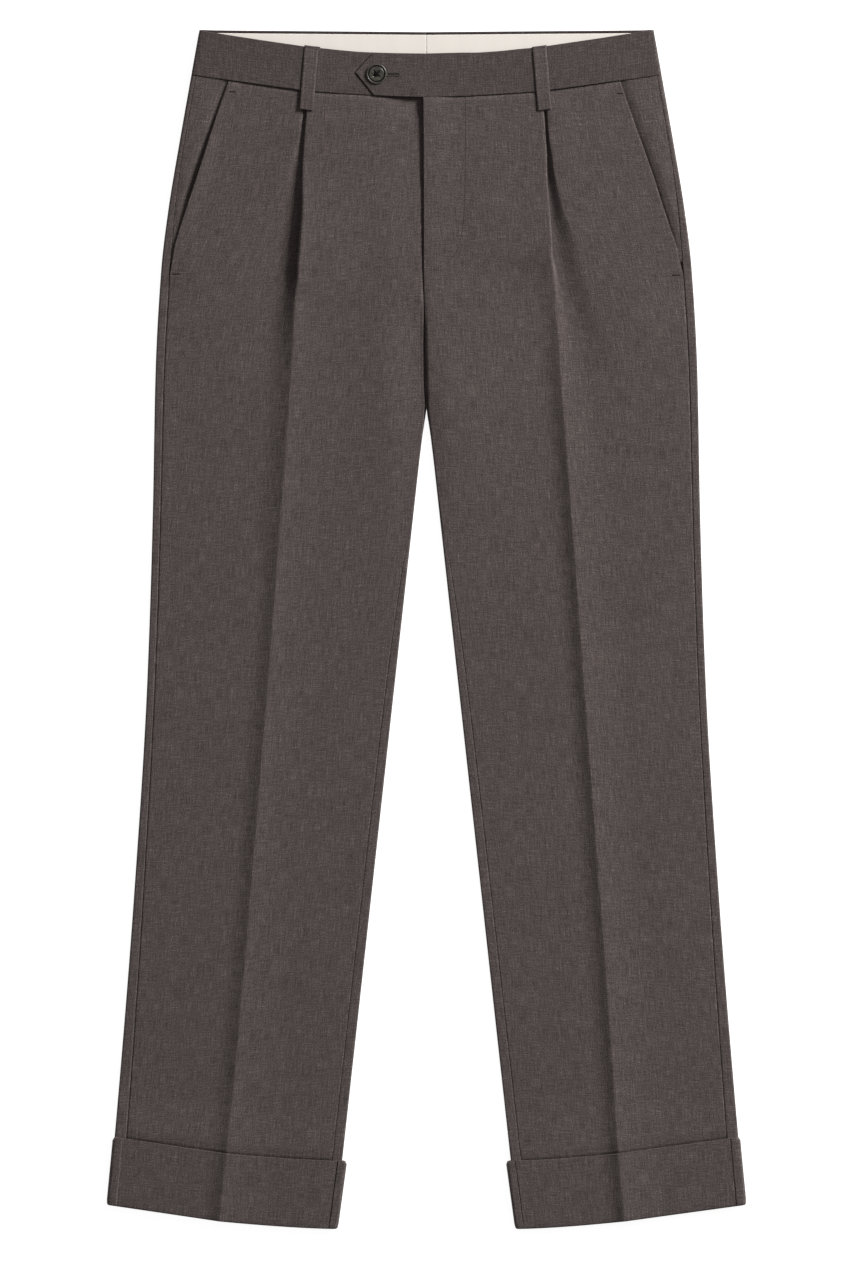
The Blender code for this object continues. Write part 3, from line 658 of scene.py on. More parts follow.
WEAVE_MAP = "cloth_mm"  # each point's place on the flat cloth, in millimetres
RIM = 0.12  # a rim stands out by this share of the thickness


def grid_normals(grid):
    across = np.gradient(grid, axis=1)
    down = np.gradient(grid, axis=0)
    normal = np.cross(across, down)
    return normal / np.maximum(np.linalg.norm(normal, axis=2, keepdims=True), 1e-9)


def unit(vector):
    return vector / max(np.linalg.norm(vector), 1e-9)


def border_of(rows, columns):
    """Rows and columns round the edge of a grid."""
    top = [(0, c) for c in range(columns)]
    right = [(r, columns - 1) for r in range(1, rows)]
    bottom = [(rows - 1, c) for c in range(columns - 2, -1, -1)]
    left = [(r, 0) for r in range(rows - 2, 0, -1)]
    return top + right + bottom + left


def shell(name, grid, cloth, thickness, finish):
    """A closed thin shell about a grid of points, with a rounded rim.

    grid is rows of points in millimetres, and cloth the place of each on the flat cloth.
    """
    grid = np.array(grid, dtype=float)
    cloth = np.array(cloth, dtype=float)
    rows, columns = grid.shape[:2]
    normal = grid_normals(grid)
    upper = (grid + normal * thickness / 2).reshape(-1, 3)
    lower = (grid - normal * thickness / 2).reshape(-1, 3)
    border = border_of(rows, columns)
    edge = []
    for r, c in border:
        inside_r = min(max(r, 1), rows - 2)
        inside_c = min(max(c, 1), columns - 2)
        outward = np.zeros(3)
        if inside_r != r:
            outward += unit(grid[r, c] - grid[inside_r, c])
        if inside_c != c:
            outward += unit(grid[r, c] - grid[r, inside_c])
        edge.append(grid[r, c] + unit(outward) * thickness * RIM)
    points = np.vstack([upper, lower, np.array(edge)]) * MM
    count = rows * columns
    index = np.arange(count).reshape(rows, columns)
    a, b, c, d = index[:-1, :-1], index[:-1, 1:], index[1:, 1:], index[1:, :-1]
    faces = np.stack([a, b, c, d], axis=-1).reshape(-1, 4)
    faces = np.vstack([faces, faces[:, ::-1] + count])
    flat = np.array([index[r, c] for r, c in border])
    mid = 2 * count + np.arange(len(border))
    following = np.roll(flat, -1)
    next_mid = np.roll(mid, -1)
    faces = np.vstack([faces, np.stack([flat, mid, next_mid, following], axis=-1),
                       np.stack([mid, flat + count, following + count, next_mid], axis=-1)])
    places = np.vstack([cloth.reshape(-1, 2), cloth.reshape(-1, 2), cloth.reshape(-1, 2)[flat]])
    piece = linked(name, points.tolist(), faces.tolist(), finish)
    mapped(piece, places)
    return piece


def linked(name, points, faces, finish):
    """A smooth mesh of points in metres, in the scene."""
    mesh = bpy.data.meshes.new(name)
    mesh.from_pydata(points, [], faces)
    mesh.shade_smooth()
    mesh.materials.append(finish)
    piece = bpy.data.objects.new(name, mesh)
    bpy.context.scene.collection.objects.link(piece)
    return piece


def mapped(piece, places):
    """Gives every corner of a piece its place on the flat cloth."""
    layer = piece.data.uv_layers.new(name=WEAVE_MAP)
    corners = np.zeros(len(piece.data.loops), dtype=np.int32)
    piece.data.loops.foreach_get("vertex_index", corners)
    layer.data.foreach_set("uv", np.asarray(places, dtype=np.float32)[corners].ravel())


def cloth_of(node, rows, cloth, thickness, finish):
    """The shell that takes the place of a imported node."""
    piece = shell(node + "_cloth", rows, cloth, thickness, finish)
    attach(piece, "root")
    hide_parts(node)
    return piece


# -------------------------------------------------- finishes

class Nodes:
    """Short calls for building a material's nodes."""

    def __init__(self, name):
        self.material = bpy.data.materials.new(name)
        self.material.use_nodes = True
        self.tree = self.material.node_tree
        self.shader = self.tree.nodes["Principled BSDF"]

    def add(self, kind, settings=None, **inputs):
        node = self.tree.nodes.new(kind)
        for key, value in (settings or {}).items():
            setattr(node, key, value)
        for key, value in inputs.items():
            self.put(node.inputs[key.replace("_", " ")], value)
        return node

    def put(self, socket, value):
        if isinstance(value, bpy.types.NodeSocket):
            self.tree.links.new(value, socket)
        else:
            socket.default_value = value

    def math(self, operation, first, second=0.0, third=None):
        node = self.tree.nodes.new("ShaderNodeMath")
        node.operation = operation
        self.put(node.inputs[0], first)
        self.put(node.inputs[1], second)
        if third is not None:
            self.put(node.inputs[2], third)
        return node.outputs[0]

    def scaled(self, vector, factors):
        node = self.tree.nodes.new("ShaderNodeVectorMath")
        node.operation = "MULTIPLY"
        self.put(node.inputs[0], vector)
        node.inputs[1].default_value = factors
        return node.outputs[0]

    def noise(self, vector, detail=2.0, roughness=0.5):
        node = self.add("ShaderNodeTexNoise", {"noise_dimensions": "3D"}, Vector=vector, Scale=1.0,
                        Detail=detail, Roughness=roughness)
        return node.outputs["Fac"]

    def spread(self, value, gain, base, middle=0.5):
        """base, and gain times how far a value lies from its middle."""
        return self.math("MULTIPLY_ADD", self.math("SUBTRACT", value, middle), gain, base)

    def color(self, value, tone):
        """The surface's colour: a value or a socket, times a tone."""
        if not isinstance(value, bpy.types.NodeSocket):
            base = self.add("ShaderNodeRGB")
            base.outputs[0].default_value = (*value, 1)
            value = base.outputs[0]
        light = self.add("ShaderNodeVectorMath", {"operation": "SCALE"})
        self.put(light.inputs[0], value)
        self.put(light.inputs["Scale"], tone)
        self.put(self.shader.inputs["Base Color"], light.outputs[0])

    def surface(self, **values):
        for key, value in values.items():
            self.put(self.shader.inputs[key.replace("_", " ")], value)

    def bump(self, strength, distance, height):
        bump = self.add("ShaderNodeBump", Strength=strength, Distance=distance, Height=height)
        self.put(self.shader.inputs["Normal"], bump.outputs["Normal"])


YARN = 0.46  # pitch of the yarns, in millimetres
# Noises over the cloth: size across and down in millimetres, detail, and gain in the tone.
WOOL_NOISES = {"grain": (1.1, 1.1, 0.0, 1.6), "warp": (0.95, 16.0, 1.0, 1.3), "weft": (12.0, 0.95, 1.0, 1.15),
               "stripes": (5.0, 130.0, 1.0, 0.16), "courses": (110.0, 6.0, 1.0, 0.14),
               "mottle": (40.0, 70.0, 3.0, 0.16)}
SLUBS = ((1.3, 16.0), (18.0, 1.3))  # thick places in the warp and in the weft
SLUB_FROM = 0.62
SLUB_GAIN = 1.6
WOOL_COLOR = (0.0706, 0.0558, 0.0522)


def wool_finish(name, shade=1.0):
    """Fine worsted plain weave: each yarn has its own tone, with slubs, over a faint mottle."""
    n = Nodes(name)
    on_cloth = n.add("ShaderNodeUVMap", {"uv_map": WEAVE_MAP}).outputs["UV"]
    split = n.add("ShaderNodeSeparateXYZ", Vector=on_cloth)
    across = n.math("SINE", n.math("MULTIPLY", split.outputs["X"], math.pi / YARN))
    down = n.math("SINE", n.math("MULTIPLY", split.outputs["Y"], math.pi / YARN))
    weave = n.math("MULTIPLY", across, down)
    warp_on_top = n.math("GREATER_THAN", weave, 0.0)
    height = n.math("POWER", n.math("ABSOLUTE", weave), 0.5)

    noises = {}
    tone = 0.0
    for key, (wide, long, detail, gain) in WOOL_NOISES.items():
        noises[key] = n.noise(n.scaled(on_cloth, (1 / wide, 1 / long, 1)), detail=detail)
        tone = n.spread(noises[key], gain, tone)
    for wide, long in SLUBS:
        slub = n.noise(n.scaled(on_cloth, (1 / wide, 1 / long, 1)), detail=1.0)
        thick = n.math("MAXIMUM", n.math("SUBTRACT", slub, SLUB_FROM), 0.0)
        tone = n.math("MULTIPLY_ADD", thick, SLUB_GAIN, tone)
    tone = n.spread(warp_on_top, 0.10, tone)
    tone = n.spread(height, 0.30, tone, middle=0.6)
    n.color([value * shade for value in WOOL_COLOR], n.math("EXPONENT", tone))
    n.surface(Roughness=0.88, Specular_IOR_Level=0.25, Sheen_Weight=0.06, Sheen_Roughness=0.45)
    yarns = n.math("ADD", noises["warp"], noises["weft"])
    n.bump(0.35, 0.00012, n.math("MULTIPLY_ADD", yarns, 0.5, n.math("ADD", noises["grain"], height)))
    return n.material


def lining_finish():
    n = Nodes("cream_lining")
    on_cloth = n.add("ShaderNodeUVMap", {"uv_map": WEAVE_MAP}).outputs["UV"]
    twill = n.add("ShaderNodeTexWave", {"wave_type": "BANDS", "bands_direction": "DIAGONAL"},
                  Vector=on_cloth, Scale=0.55, Distortion=0.4).outputs["Fac"]
    # The long soft cloud patches are painted light and shade of soft vertical folds in the lining.
    cloud = n.noise(n.scaled(on_cloth, (1 / 14.0, 1 / 60.0, 1)))
    n.color((0.765, 0.715, 0.657), n.spread(cloud, 0.10, n.math("MULTIPLY_ADD", twill, 0.03, 0.97)))
    n.surface(Roughness=0.6, Sheen_Weight=0.05)
    n.bump(0.2, 0.00008, twill)
    return n.material


BUTTON_X, BUTTON_Y, BUTTON_BASE, BUTTON_RADIUS = -46.0, 511.0, 8.35, 9.5
# Share of the button's radius, and the horn's shade there: the dish darker in its middle and lighter towards
# its edge, a painted shadow in the ring's groove and a painted highlight on the rim.
HORN_TONE_AND_PAINTED_LIGHT = (
    (0.0, 0.8), (0.28, 1.0), (0.40, 1.7), (0.66, 2.0), (0.72, 0.6), (0.76, 0.10), (0.80, 0.2), (0.86, 1.6),
    (0.94, 2.4), (1.0, 1.0))
HORN_BRIGHTEST = 2.5  # the shades are kept as shares of this
# Where the horn's cloudy figure is darkest and lightest, and its colours there.
HORN_FIGURE = ((0.35, (0.016, 0.0145, 0.0115)), (0.7, (0.042, 0.038, 0.030)))


def button_finish():
    n = Nodes("dark_horn")
    coordinates = n.add("ShaderNodeTexCoord").outputs["Object"]
    cloud = n.noise(n.scaled(coordinates, (220, 700, 300)), detail=4.0, roughness=0.6)
    figure = n.add("ShaderNodeValToRGB", Fac=cloud)
    for element, (position, color) in zip(figure.color_ramp.elements, HORN_FIGURE):
        element.position = position
        element.color = (*color, 1)
    away = n.add("ShaderNodeVectorMath", {"operation": "DISTANCE"})
    n.put(away.inputs[0], n.scaled(coordinates, (1, 1, 0)))
    away.inputs[1].default_value = (BUTTON_X * MM, BUTTON_Y * MM, 0)
    rings = n.add("ShaderNodeValToRGB", Fac=n.math("DIVIDE", away.outputs["Value"], BUTTON_RADIUS * MM))
    elements = rings.color_ramp.elements
    while len(elements) < len(HORN_TONE_AND_PAINTED_LIGHT):
        elements.new(0.5)
    for element, (position, shade) in zip(elements, HORN_TONE_AND_PAINTED_LIGHT):
        element.position = position
        element.color = (*[shade / HORN_BRIGHTEST] * 3, 1)
    # The rings paint the groove's shadow and the rim's highlight into the horn's colour.
    n.color(figure.outputs["Color"], n.math("MULTIPLY", rings.outputs["Color"], HORN_BRIGHTEST))
    n.surface(Roughness=n.math("MULTIPLY_ADD", cloud, 0.2, 0.25))
    n.bump(0.15, 0.0001, cloud)
    return n.material


def thread_finish(name, color):
    n = Nodes(name)
    coordinates = n.add("ShaderNodeTexCoord").outputs["Object"]
    twist = n.noise(n.scaled(coordinates, (4000, 4000, 4000)))
    n.color(color, n.math("MULTIPLY_ADD", twist, 0.8, 0.6))
    n.surface(Roughness=0.8, Specular_IOR_Level=0.15)
    return n.material


WOOL = wool_finish("grey_brown_wool")
# The waistband's wool is darker, 0.82 as light as the legs', over the whole band; in part this is painted
# shade for the back's rolled top edge.
BAND_WOOL = wool_finish("grey_brown_wool_band_darker", 0.82)
LINING = lining_finish()
HORN = button_finish()
THREAD = thread_finish("sewing_thread", (0.026, 0.021, 0.019))
PURL = thread_finish("buttonhole_thread", (0.062, 0.050, 0.046))
TACK_THREAD = thread_finish("tack_thread", (0.026, 0.021, 0.019))
# Near-black thread: the button's own dark thread, and in the buttonhole's slit a painted shade of the
# opening.
SHADE_THREAD = thread_finish("dark_thread_and_slit_shade", (0.004, 0.0035, 0.003))


# -------------------------------------------------- panels

# Drops of the panels' rows: close together at the waist, and where the leg goes into its turn-up.
PANEL_TOP = WAIST + SEAM_GAP
STATIONS = np.concatenate([
    [PANEL_TOP, PANEL_TOP + EDGE, 43.0], np.arange(44.5, 500, 3.5), np.arange(502, 1006, 6),
    np.arange(1007, 1025, 0.9), np.arange(1026, LEG_END - 3, 6), [LEG_END - EDGE, LEG_END]])
WARP_LEAN = 0.07  # the weft lies square to the crease
CUT_AT = {RIGHT: 0.0, LEFT: 2300.0}  # each side is cut from its own place on the cloth
BACK_CUT, FACING_CUT, BAND_CUT, LOOP_CUT = 400, 700, 900, 1500  # and so is each kind of piece
CUFF_CUT = (150, 1200)
COLUMN_AT_EDGE = len(EDGE_STEPS)  # with_edges adds this many columns before the others

CUFF_TOP = 1018.5
CUFF_OFFSET = CLOTH + LAYER_GAP
CUFF_FOLD_RADIUS = CUFF_OFFSET / 2
CUFF_FOLD = HEM - CLOTH / 2 - CUFF_FOLD_RADIUS
CUFF_FOLD_STEPS = 8
CUFF_FIRST = 3  # the first row after the edge's lies this far down
CUFF_ROWS = 16
CUFF_STUB_EDGE = 0.8  # the last row lies this far beyond the one before it
# The turn-up's inner edge stands out from the leg by this much at its top and at the hem.
CUFF_FLARE_TOP = 3.0
CUFF_FLARE_HEM = 1.4
CUFF_FLARE_WIDTH = 20.0
# Its seams lie this far outside the leg's, over this width.
CUFF_SEAM_SHIFT = 4.0
CUFF_SEAM_WIDTH = 30.0
CUFF_SEAM_COLUMNS = 5  # on the back, over this many columns
CUFF_CORNER = 3.0
CUFF_CORNER_REACH = 8.0
# The leg sinks where it goes into the turn-up: by how much, over what run.
LEG_DIPS = ((0.4, 10.0), (0.75, 2.4))

# The sewing that holds the fly, as (x, y).
FLY_SEWN = (
    (36.0, 489.5), (36.0, 487), (35.9, 440), (35.5, 395), (34.0, 372), (30.0, 351), (21.6, 338),
    (9.7, 332), (-0.6, 325.8))
FLY_SEWN_DIP = (1.3, -0.14)  # width and height of the dent that the sewing draws in
CREASE_TAPER = 0.6
# Soft creases: x, y, x, y, width and height.
FRONT_CREASES = {
    RIGHT: ((-112, 283, -26, 286.5, 5, -0.30), (-219, 170.5, -155, 162.5, 5, -0.30),
        (-238, 100, -200, 78, 8, 0.25), (-89, 192.5, -29, 211, 9, 0.25), (-162, -65, -89, -83, 10, -0.22),
        (-125, -212, -80, -203, 9, 0.22), (-248, -157, -199, -168, 9, -0.22),
        (-172, -332, -98, -341, 10, -0.20), (-89, 367, -84, 312, 12, 0.25),
        (-196, 395, -176, 330, 11, 0.22), (-150, 60, -92, 44, 12, 0.2), (-228, 20, -205, -60, 12, 0.2)),
    LEFT: ((31, 275.5, 42, 218.5, 8, -0.35), (58, 135.6, 123, 132, 5, -0.25),
        (160, 119, 238, 124.6, 5, -0.22), (150, 82.5, 196, 86, 5, -0.22), (169, 27, 233, 13, 10, 0.22),
        (68, 8.7, 132, -2.3, 9, 0.24), (123, -120, 169, -111, 9, -0.22), (196, -230.5, 250, -244, 9, 0.2),
        (123, -350, 196, -341, 10, -0.2), (67.6, 349, 104.4, 338, 9, 0.22), (186, 330, 205, 262, 12, 0.25),
        (92, -210, 112, -290, 12, 0.2))}
BACK_CREASES = {
    RIGHT: ((-40, 262, -118, 240, 9, 0.30), (-60, 226, -150, 214, 7, 0.26), (-170, 96, -236, 84, 8, 0.24),
        (-76, 40, -130, 22, 10, 0.26), (-120, -150, -196, -138, 10, 0.22),
        (-130, -330, -210, -318, 9, 0.2)),
    LEFT: ((36, 250, 126, 236, 9, 0.30), (70, 206, 160, 200, 7, 0.25), (150, 120, 226, 104, 9, 0.24),
        (82, 18, 140, 30, 10, 0.25), (140, -122, 214, -134, 10, 0.22), (150, -300, 232, -312, 9, 0.2))}


def relief(grid, creases):
    """Adds soft creases, each of (x, y, x, y, width, height), to the heights of a grid."""
    flat = grid[..., :2]
    for x0, y0, x1, y1, width, height in creases:
        start, end = np.array((x0, y0)), np.array((x1, y1))
        run = end - start
        t = np.clip(((flat - start) @ run) / (run @ run), 0, 1)
        nearest = start + t[..., None] * run
        distance = np.linalg.norm(flat - nearest, axis=-1) / width
        taper = np.clip(4 * t * (1 - t), 0, 1) ** CREASE_TAPER
        grid[..., 2] += height * taper * np.exp(-distance ** 2)
    return grid


# How much cloth the pleat hides.
PLEAT_HIDDEN = Table("drop width", (41, 34.0), (150, 22.0), (230, 7.0), (290, 0.0))
FOOT_COLUMN = STEPS["flank"] * 2 + STEPS["wall"] + STEPS["floor"] + COLUMN_AT_EDGE


def cloth_across(side, drop, path, crease):
    """Distance over the flat cloth from the crease, along a front section."""
    across = along(path, crease)
    line = crease_half(side, drop)
    hidden = PLEAT_HIDDEN.read("width", drop)
    outside = np.array([line - half - hidden for half, _ in path[:FOOT_COLUMN + 1]])
    share = (across[FOOT_COLUMN:crease] - across[FOOT_COLUMN]) / (across[crease] - across[FOOT_COLUMN])
    across[FOOT_COLUMN:crease] = outside[-1] * (1 - share)
    across[:FOOT_COLUMN] = outside[:-1]
    return across


SEAM_DROPS = (226, 246)  # the outseam's edge turns in below the pocket mouth
JOINED_DROPS = (INSEAM_ROLLED, INSEAM_ROLLED + 30)  # and the inseam's edges below its roll
ROLL_DROPS = (205, 226)  # the pocket mouth's rolled edge runs out


def make_panels(side):
    fronts, front_cloth, backs, back_cloth = [], [], [], []
    cut = CUT_AT[side]
    for drop in STATIONS:
        joined = growth(drop, *JOINED_DROPS)
        turned = max(growth(drop, *SEAM_DROPS), MOUTH_ROLL[side] * fade(drop, *ROLL_DROPS))
        path, crease = front_section(side, drop)
        path = with_edges(path, (turned, joined))
        across = cloth_across(side, drop, path, crease + COLUMN_AT_EDGE)
        sunk = sum(dip * fade(CUFF_TOP - drop, 0, run) for dip, run in LEG_DIPS)
        row = [place_front(side, half, rise - sunk, drop) for half, rise in path]
        fronts.append(row)
        front_cloth.append([(u + cut, -point[1] + WARP_LEAN * u) for u, point in zip(across, row)])

        path, crease = back_section(side, drop)
        path = with_edges(path, (-1.0, -joined))
        across = along(path, crease + COLUMN_AT_EDGE)
        row = [place_back(side, half, rise, drop) for half, rise in path]
        backs.append(row)
        back_cloth.append([(u + BACK_CUT + cut, -point[1] - WARP_LEAN * u) for u, point in zip(across, row)])
    name = SIDE_NAMES[side]
    fronts = relief(np.array(fronts), FRONT_CREASES[side])
    if side == LEFT:
        sewn = zip(FLY_SEWN[1:-1], FLY_SEWN[2:])
        fronts = relief(fronts, [(*start, *end, *FLY_SEWN_DIP) for start, end in sewn])
    backs = relief(np.array(backs), BACK_CREASES[side])
    front = cloth_of("front_" + name, fronts, front_cloth, CLOTH, WOOL)
    back = cloth_of("back_" + name, backs, back_cloth, CLOTH, WOOL)


def cuff_rows():
    """(drop, distance outside the leg) down the outer layer, round the fold and up the stub."""
    rows = [(CUFF_TOP, CUFF_OFFSET), (CUFF_TOP + EDGE, CUFF_OFFSET)]
    rows += [(drop, CUFF_OFFSET) for drop in np.linspace(CUFF_TOP + CUFF_FIRST, CUFF_FOLD, CUFF_ROWS)[:-1]]
    for step in range(CUFF_FOLD_STEPS + 1):
        angle = math.pi * step / CUFF_FOLD_STEPS
        distance = CUFF_FOLD_RADIUS * (1 + math.cos(angle))
        rows.append((CUFF_FOLD + CUFF_FOLD_RADIUS * math.sin(angle), distance))
    rows += [(LEG_END + SEAM_GAP + CUFF_STUB_EDGE, 0), (LEG_END + SEAM_GAP, 0)]
    return rows


def seams_moved(path, layer):
    """The turn-up's seams lie outside the leg's."""
    first, last = path[0][0], path[-1][0]
    result = []
    for index, (half, rise) in enumerate(path):
        outward = fade(abs(first - half), 0, CUFF_SEAM_WIDTH)
        inward = fade(abs(half - last), 0, CUFF_SEAM_WIDTH)
        if layer == "back":
            outward = max(1 - index / CUFF_SEAM_COLUMNS, 0)
            inward = max(1 - (len(path) - 1 - index) / CUFF_SEAM_COLUMNS, 0)
        result.append((half + CUFF_SEAM_SHIFT * (outward - inward), rise))
    return result


def flared(path, drop):
    """The turn-up's inner edge stands out from the leg's, most at its top."""
    down = (drop - CUFF_TOP) / (HEM - CUFF_TOP)
    reach = CUFF_FLARE_TOP + (CUFF_FLARE_HEM - CUFF_FLARE_TOP) * down
    inner = inner_half(drop)
    return [(half - reach * fade(half - inner, 0, CUFF_FLARE_WIDTH), rise) for half, rise in path]


def cornered(path, drop):
    """The turn-up's two ends pulled in where its top edge and its fold round their corners."""
    from_edge = min(max(min(drop - CUFF_TOP, HEM - drop), 0), CUFF_CORNER)
    inset = CUFF_CORNER - math.sqrt(CUFF_CORNER ** 2 - (CUFF_CORNER - from_edge) ** 2)
    outer, inner = max(half for half, _ in path), min(half for half, _ in path)
    result = []
    for half, rise in path:
        change = fade(half, inner, inner + CUFF_CORNER_REACH) - fade(outer - half, 0, CUFF_CORNER_REACH)
        result.append((half + inset * change, rise))
    return result


def make_cuffs(side):
    name = SIDE_NAMES[side]
    for layer, section, put, outward in (("front", front_section, place_front, 1),
                                         ("back", back_section, place_back, -1)):
        rows, cloth = [], []
        travelled = 0
        before = None
        for drop, distance in cuff_rows():
            path, crease = section(side, drop)
            path = with_edges(offset_path(path, outward * distance), (outward, outward))
            path = flared(seams_moved(path, layer), drop)
            if layer == "back":
                path = cornered(path, drop)
            if before is not None:
                travelled += math.hypot(drop - before[0], distance - before[1])
            before = (drop, distance)
            rows.append([put(side, half, rise, drop) for half, rise in path])
            cloth.append([(u + CUFF_CUT[0] + CUT_AT[side], CUFF_CUT[1] + travelled + WARP_LEAN * u * outward)
                          for u in along(path, crease + COLUMN_AT_EDGE)])
        piece = cloth_of("cuff_" + layer + "_" + name, rows, cloth, CLOTH, WOOL)


def make_facing(side):
    rows, cloth = [], []
    for drop in STATIONS[STATIONS <= FACING_END]:
        butts = drop >= FACING_BUTTS
        seam = outseam_half(drop)
        mouth = mouth_half(side, drop)
        side_rise = RISE.read("side", drop)
        low = side_rise
        if drop <= FACING_BUTTS:
            low = min(side_rise, POCKET.read("rise", drop) - CLOTH - SEAM_GAP)
        low -= FACING_DIP[side].read("dip", drop)
        cover = -SEAM_GAP if butts else FACING_COVER
        bulge = FACING_BULGE * fade(drop, *FACING_BULGE_ENDS) * growth(drop, WAIST, WAIST + FACING_BULGE_RUN)
        path = [(seam, side_rise)]
        for step in range(FACING_STEPS):
            share = (step + 1) / FACING_STEPS
            half = seam + (mouth + SEAM_GAP - seam) * share
            fall = sum(fade(half - mouth, 0, reach) for reach in FACING_FALL[side]) / len(FACING_FALL[side])
            high = side_rise + bulge * math.sin(math.pi * share)
            path.append((half, high + (low - high) * fall))
        path += [(mouth + SEAM_GAP / 2 - cover / 2, low), (mouth - cover, low)]
        if butts:
            share = (seam - mouth - SEAM_GAP) / (len(path) - 1)
            path = [(seam - share * index, rise) for index, (_, rise) in enumerate(path)]
        path = with_edges(path)
        row = [place_front(side, half, rise, drop) for half, rise in path]
        rows.append(row)
        cloth.append([(u + FACING_CUT, -point[1]) for u, point in zip(along(path, 0), row)])
    name = SIDE_NAMES[side]
    piece = cloth_of("facing_" + name, rows, cloth, CLOTH, WOOL)


# -------------------------------------------------- waistband

# The waistband's outer half at its top and at its bottom, and the heights of its back and its sides.
BAND_OUTER_TOP = 209.0
BAND_OUTER_BOTTOM = 216.3
BAND_BACK_RISE = 2.3
BAND_SIDE_RISE = 5.7
BAND_RIGHT_END = -20.0
# The tab ends this far past the centre line, and its point further.
TAB_SHOULDER = 48.3
TAB_POINT = 17.0
# Height of each half's front part.
BAND_FRONT = {
    RIGHT: Table("half rise", (-20, 6.6), (66, 6.6), (88, 7.1), (105, 7.1), (170, 6.3), (214, 5.7)),
    LEFT: Table("half rise", (-20, 7.5), (24, 7.5), (50, 7.1), (105, 7.1), (170, 6.3), (214, 5.7))}
TAB_PRESS = 0.75  # the right half is pressed down under the tab
TAB_PRESS_UPPER = 0.55  # and further along the tab's upper edge
TAB_PRESS_DOWNS = (0.3, 0.55)  # which ends between these shares of the waistband's depth
TAB_PRESS_REACH = (0.2, 2.4)
TAB_COLUMNS = (-3.0, -2.0, -1.2, -0.4, 0.2, 0.7, 1.2, 1.7, 2.4, 3.2, 5.0)
# The back's top edge is cut lower towards the centre.
BACK_TOP = Table("half dip", (0, 2.2), (60, 1.7), (120, 1.2), (167, 0.85), (195, 0.5), (BAND_OUTER_TOP, 0.0))
# The front's top edge is worn lower than the straight pattern piece.
FRONT_TOP = {
    RIGHT: Table("half dip",
        (-20, 1.3), (6, 1.4), (24, 1.7), (43, 2.1), (61, 2.3), (80, 1.9), (98, 1.4), (135, 1.4),
        (172, 1.2), (214, 0.3)),
    LEFT: Table("half dip",
        (-65, 2.3), (-43, 2.1), (-24, 1.7), (-6, 1.4), (12, 1.25), (31, 1.5), (49, 2.2), (68, 2.0),
        (86, 1.4), (123, 1.0), (160, 0.8), (178, 0.5), (214, 0.2))}
BACK_ROLL = 1.3  # the back's top edge is rolled, and falls towards the lining
BACK_ROLL_REACH = 3.2
BACK_ROLL_WIDTH = 25  # and the roll starts over this width from the side


def tab_end(down):
    """How far the tab reaches past the centre line, at a share of the waistband's depth."""
    return TAB_SHOULDER + TAB_POINT * (1 - abs(2 * down - 1))


def back_dip(half):
    return BACK_TOP.read("dip", half)


# Shares of the waistband's depth at its rows, and how many columns each stretch of a row has.
BAND_EDGE = EDGE / WAIST
BAND_DOWNS = np.concatenate([[0, BAND_EDGE, 0.03, 0.05], np.linspace(0, 1, 17)[1:-1], [1 - BAND_EDGE, 1]])
BAND_STEPS = {"left front": 93, "to tab": 22, "from tab": 60, "roll": 14, "back": 50}
BESIDE_TAB = (4, 7)  # between these distances from the tab's end the columns are TAB_COLUMNS


def band_halves(side, down, tangent):
    """Halves of a row's columns over the front, from its end to where it rolls over."""
    if side == LEFT:
        end = -tab_end(down)
        return [end, end + EDGE, *np.linspace(end, tangent, BAND_STEPS["left front"])[1:]]
    end, tab = BAND_RIGHT_END, tab_end(down)
    before, after = BESIDE_TAB
    return [end, end + EDGE, *np.linspace(end, tab - before, BAND_STEPS["to tab"])[1:],
            *(tab + step for step in TAB_COLUMNS), *np.linspace(tab + after, tangent, BAND_STEPS["from tab"])]


def make_waistband(side):
    rows, cloth = [], []
    radius = (BAND_SIDE_RISE - BAND_BACK_RISE) / 2
    roll_steps = BAND_STEPS["roll"]
    for down in BAND_DOWNS:
        outer = BAND_OUTER_TOP + (BAND_OUTER_BOTTOM - BAND_OUTER_TOP) * down
        taper = OUTLINE.read("outer", WAIST) / outer
        drop = WAIST * down
        worn = (1 - down) ** 2
        tangent = outer - BAND_CLOTH / 2 - radius
        row, path = [], []
        for half in band_halves(side, down, tangent):
            rise = BAND_FRONT[side].read("rise", half)
            if side == RIGHT:
                pressed = TAB_PRESS + TAB_PRESS_UPPER * fade(down, *TAB_PRESS_DOWNS)
                rise -= pressed * fade(half - tab_end(down), *TAB_PRESS_REACH)
            lower = section_drop(side, abs(half) * taper, WAIST) + FRONT_TOP[side].read("dip", half) * worn
            path.append((half, rise))
            row.append(place(side, half, rise, drop + lower))
        lower = section_drop(side, tangent * taper, WAIST) + FRONT_TOP[side].read("dip", tangent) * worn
        roll = walk((tangent, BAND_SIDE_RISE), 180, (math.pi * radius, 180, roll_steps))
        for index, (half, rise) in enumerate(roll[1:]):
            path.append((half, rise))
            row.append(place(side, half, rise, drop + lower * (1 - (index + 1) / roll_steps)))
        for half in np.linspace(tangent, SEAM_GAP / 2, BAND_STEPS["back"])[1:]:
            inside = smooth(min((tangent - half) / BACK_ROLL_WIDTH, 1))
            rise = BAND_BACK_RISE + BACK_ROLL * inside * fade(drop, 0, BACK_ROLL_REACH)
            path.append((half, rise))
            row.append(place(side, half, rise, drop + back_dip(half) * (1 - down)))
        rows.append(row)
        cloth.append([(u + path[0][0] + BAND_CUT + CUT_AT[side], drop) for u in along(path, 0)])
    piece = cloth_of("waistband_" + SIDE_NAMES[side], rows, cloth, BAND_CLOTH, BAND_WOOL)


LINING_TOP = 2.5
LINING_OUTER = 203.0
LINING_BOTTOM = 41.0
LINING_DOWNS = np.concatenate([[0, 0.012], np.linspace(0, 1, 13)[1:-1], [0.988, 1]])
LINING_COLUMNS = 60
LINING_DEEP = 40  # its depth on the flat cloth
LINING_RISE = BAND_BACK_RISE + BAND_CLOTH / 2 + SEAM_GAP + LINING_CLOTH / 2


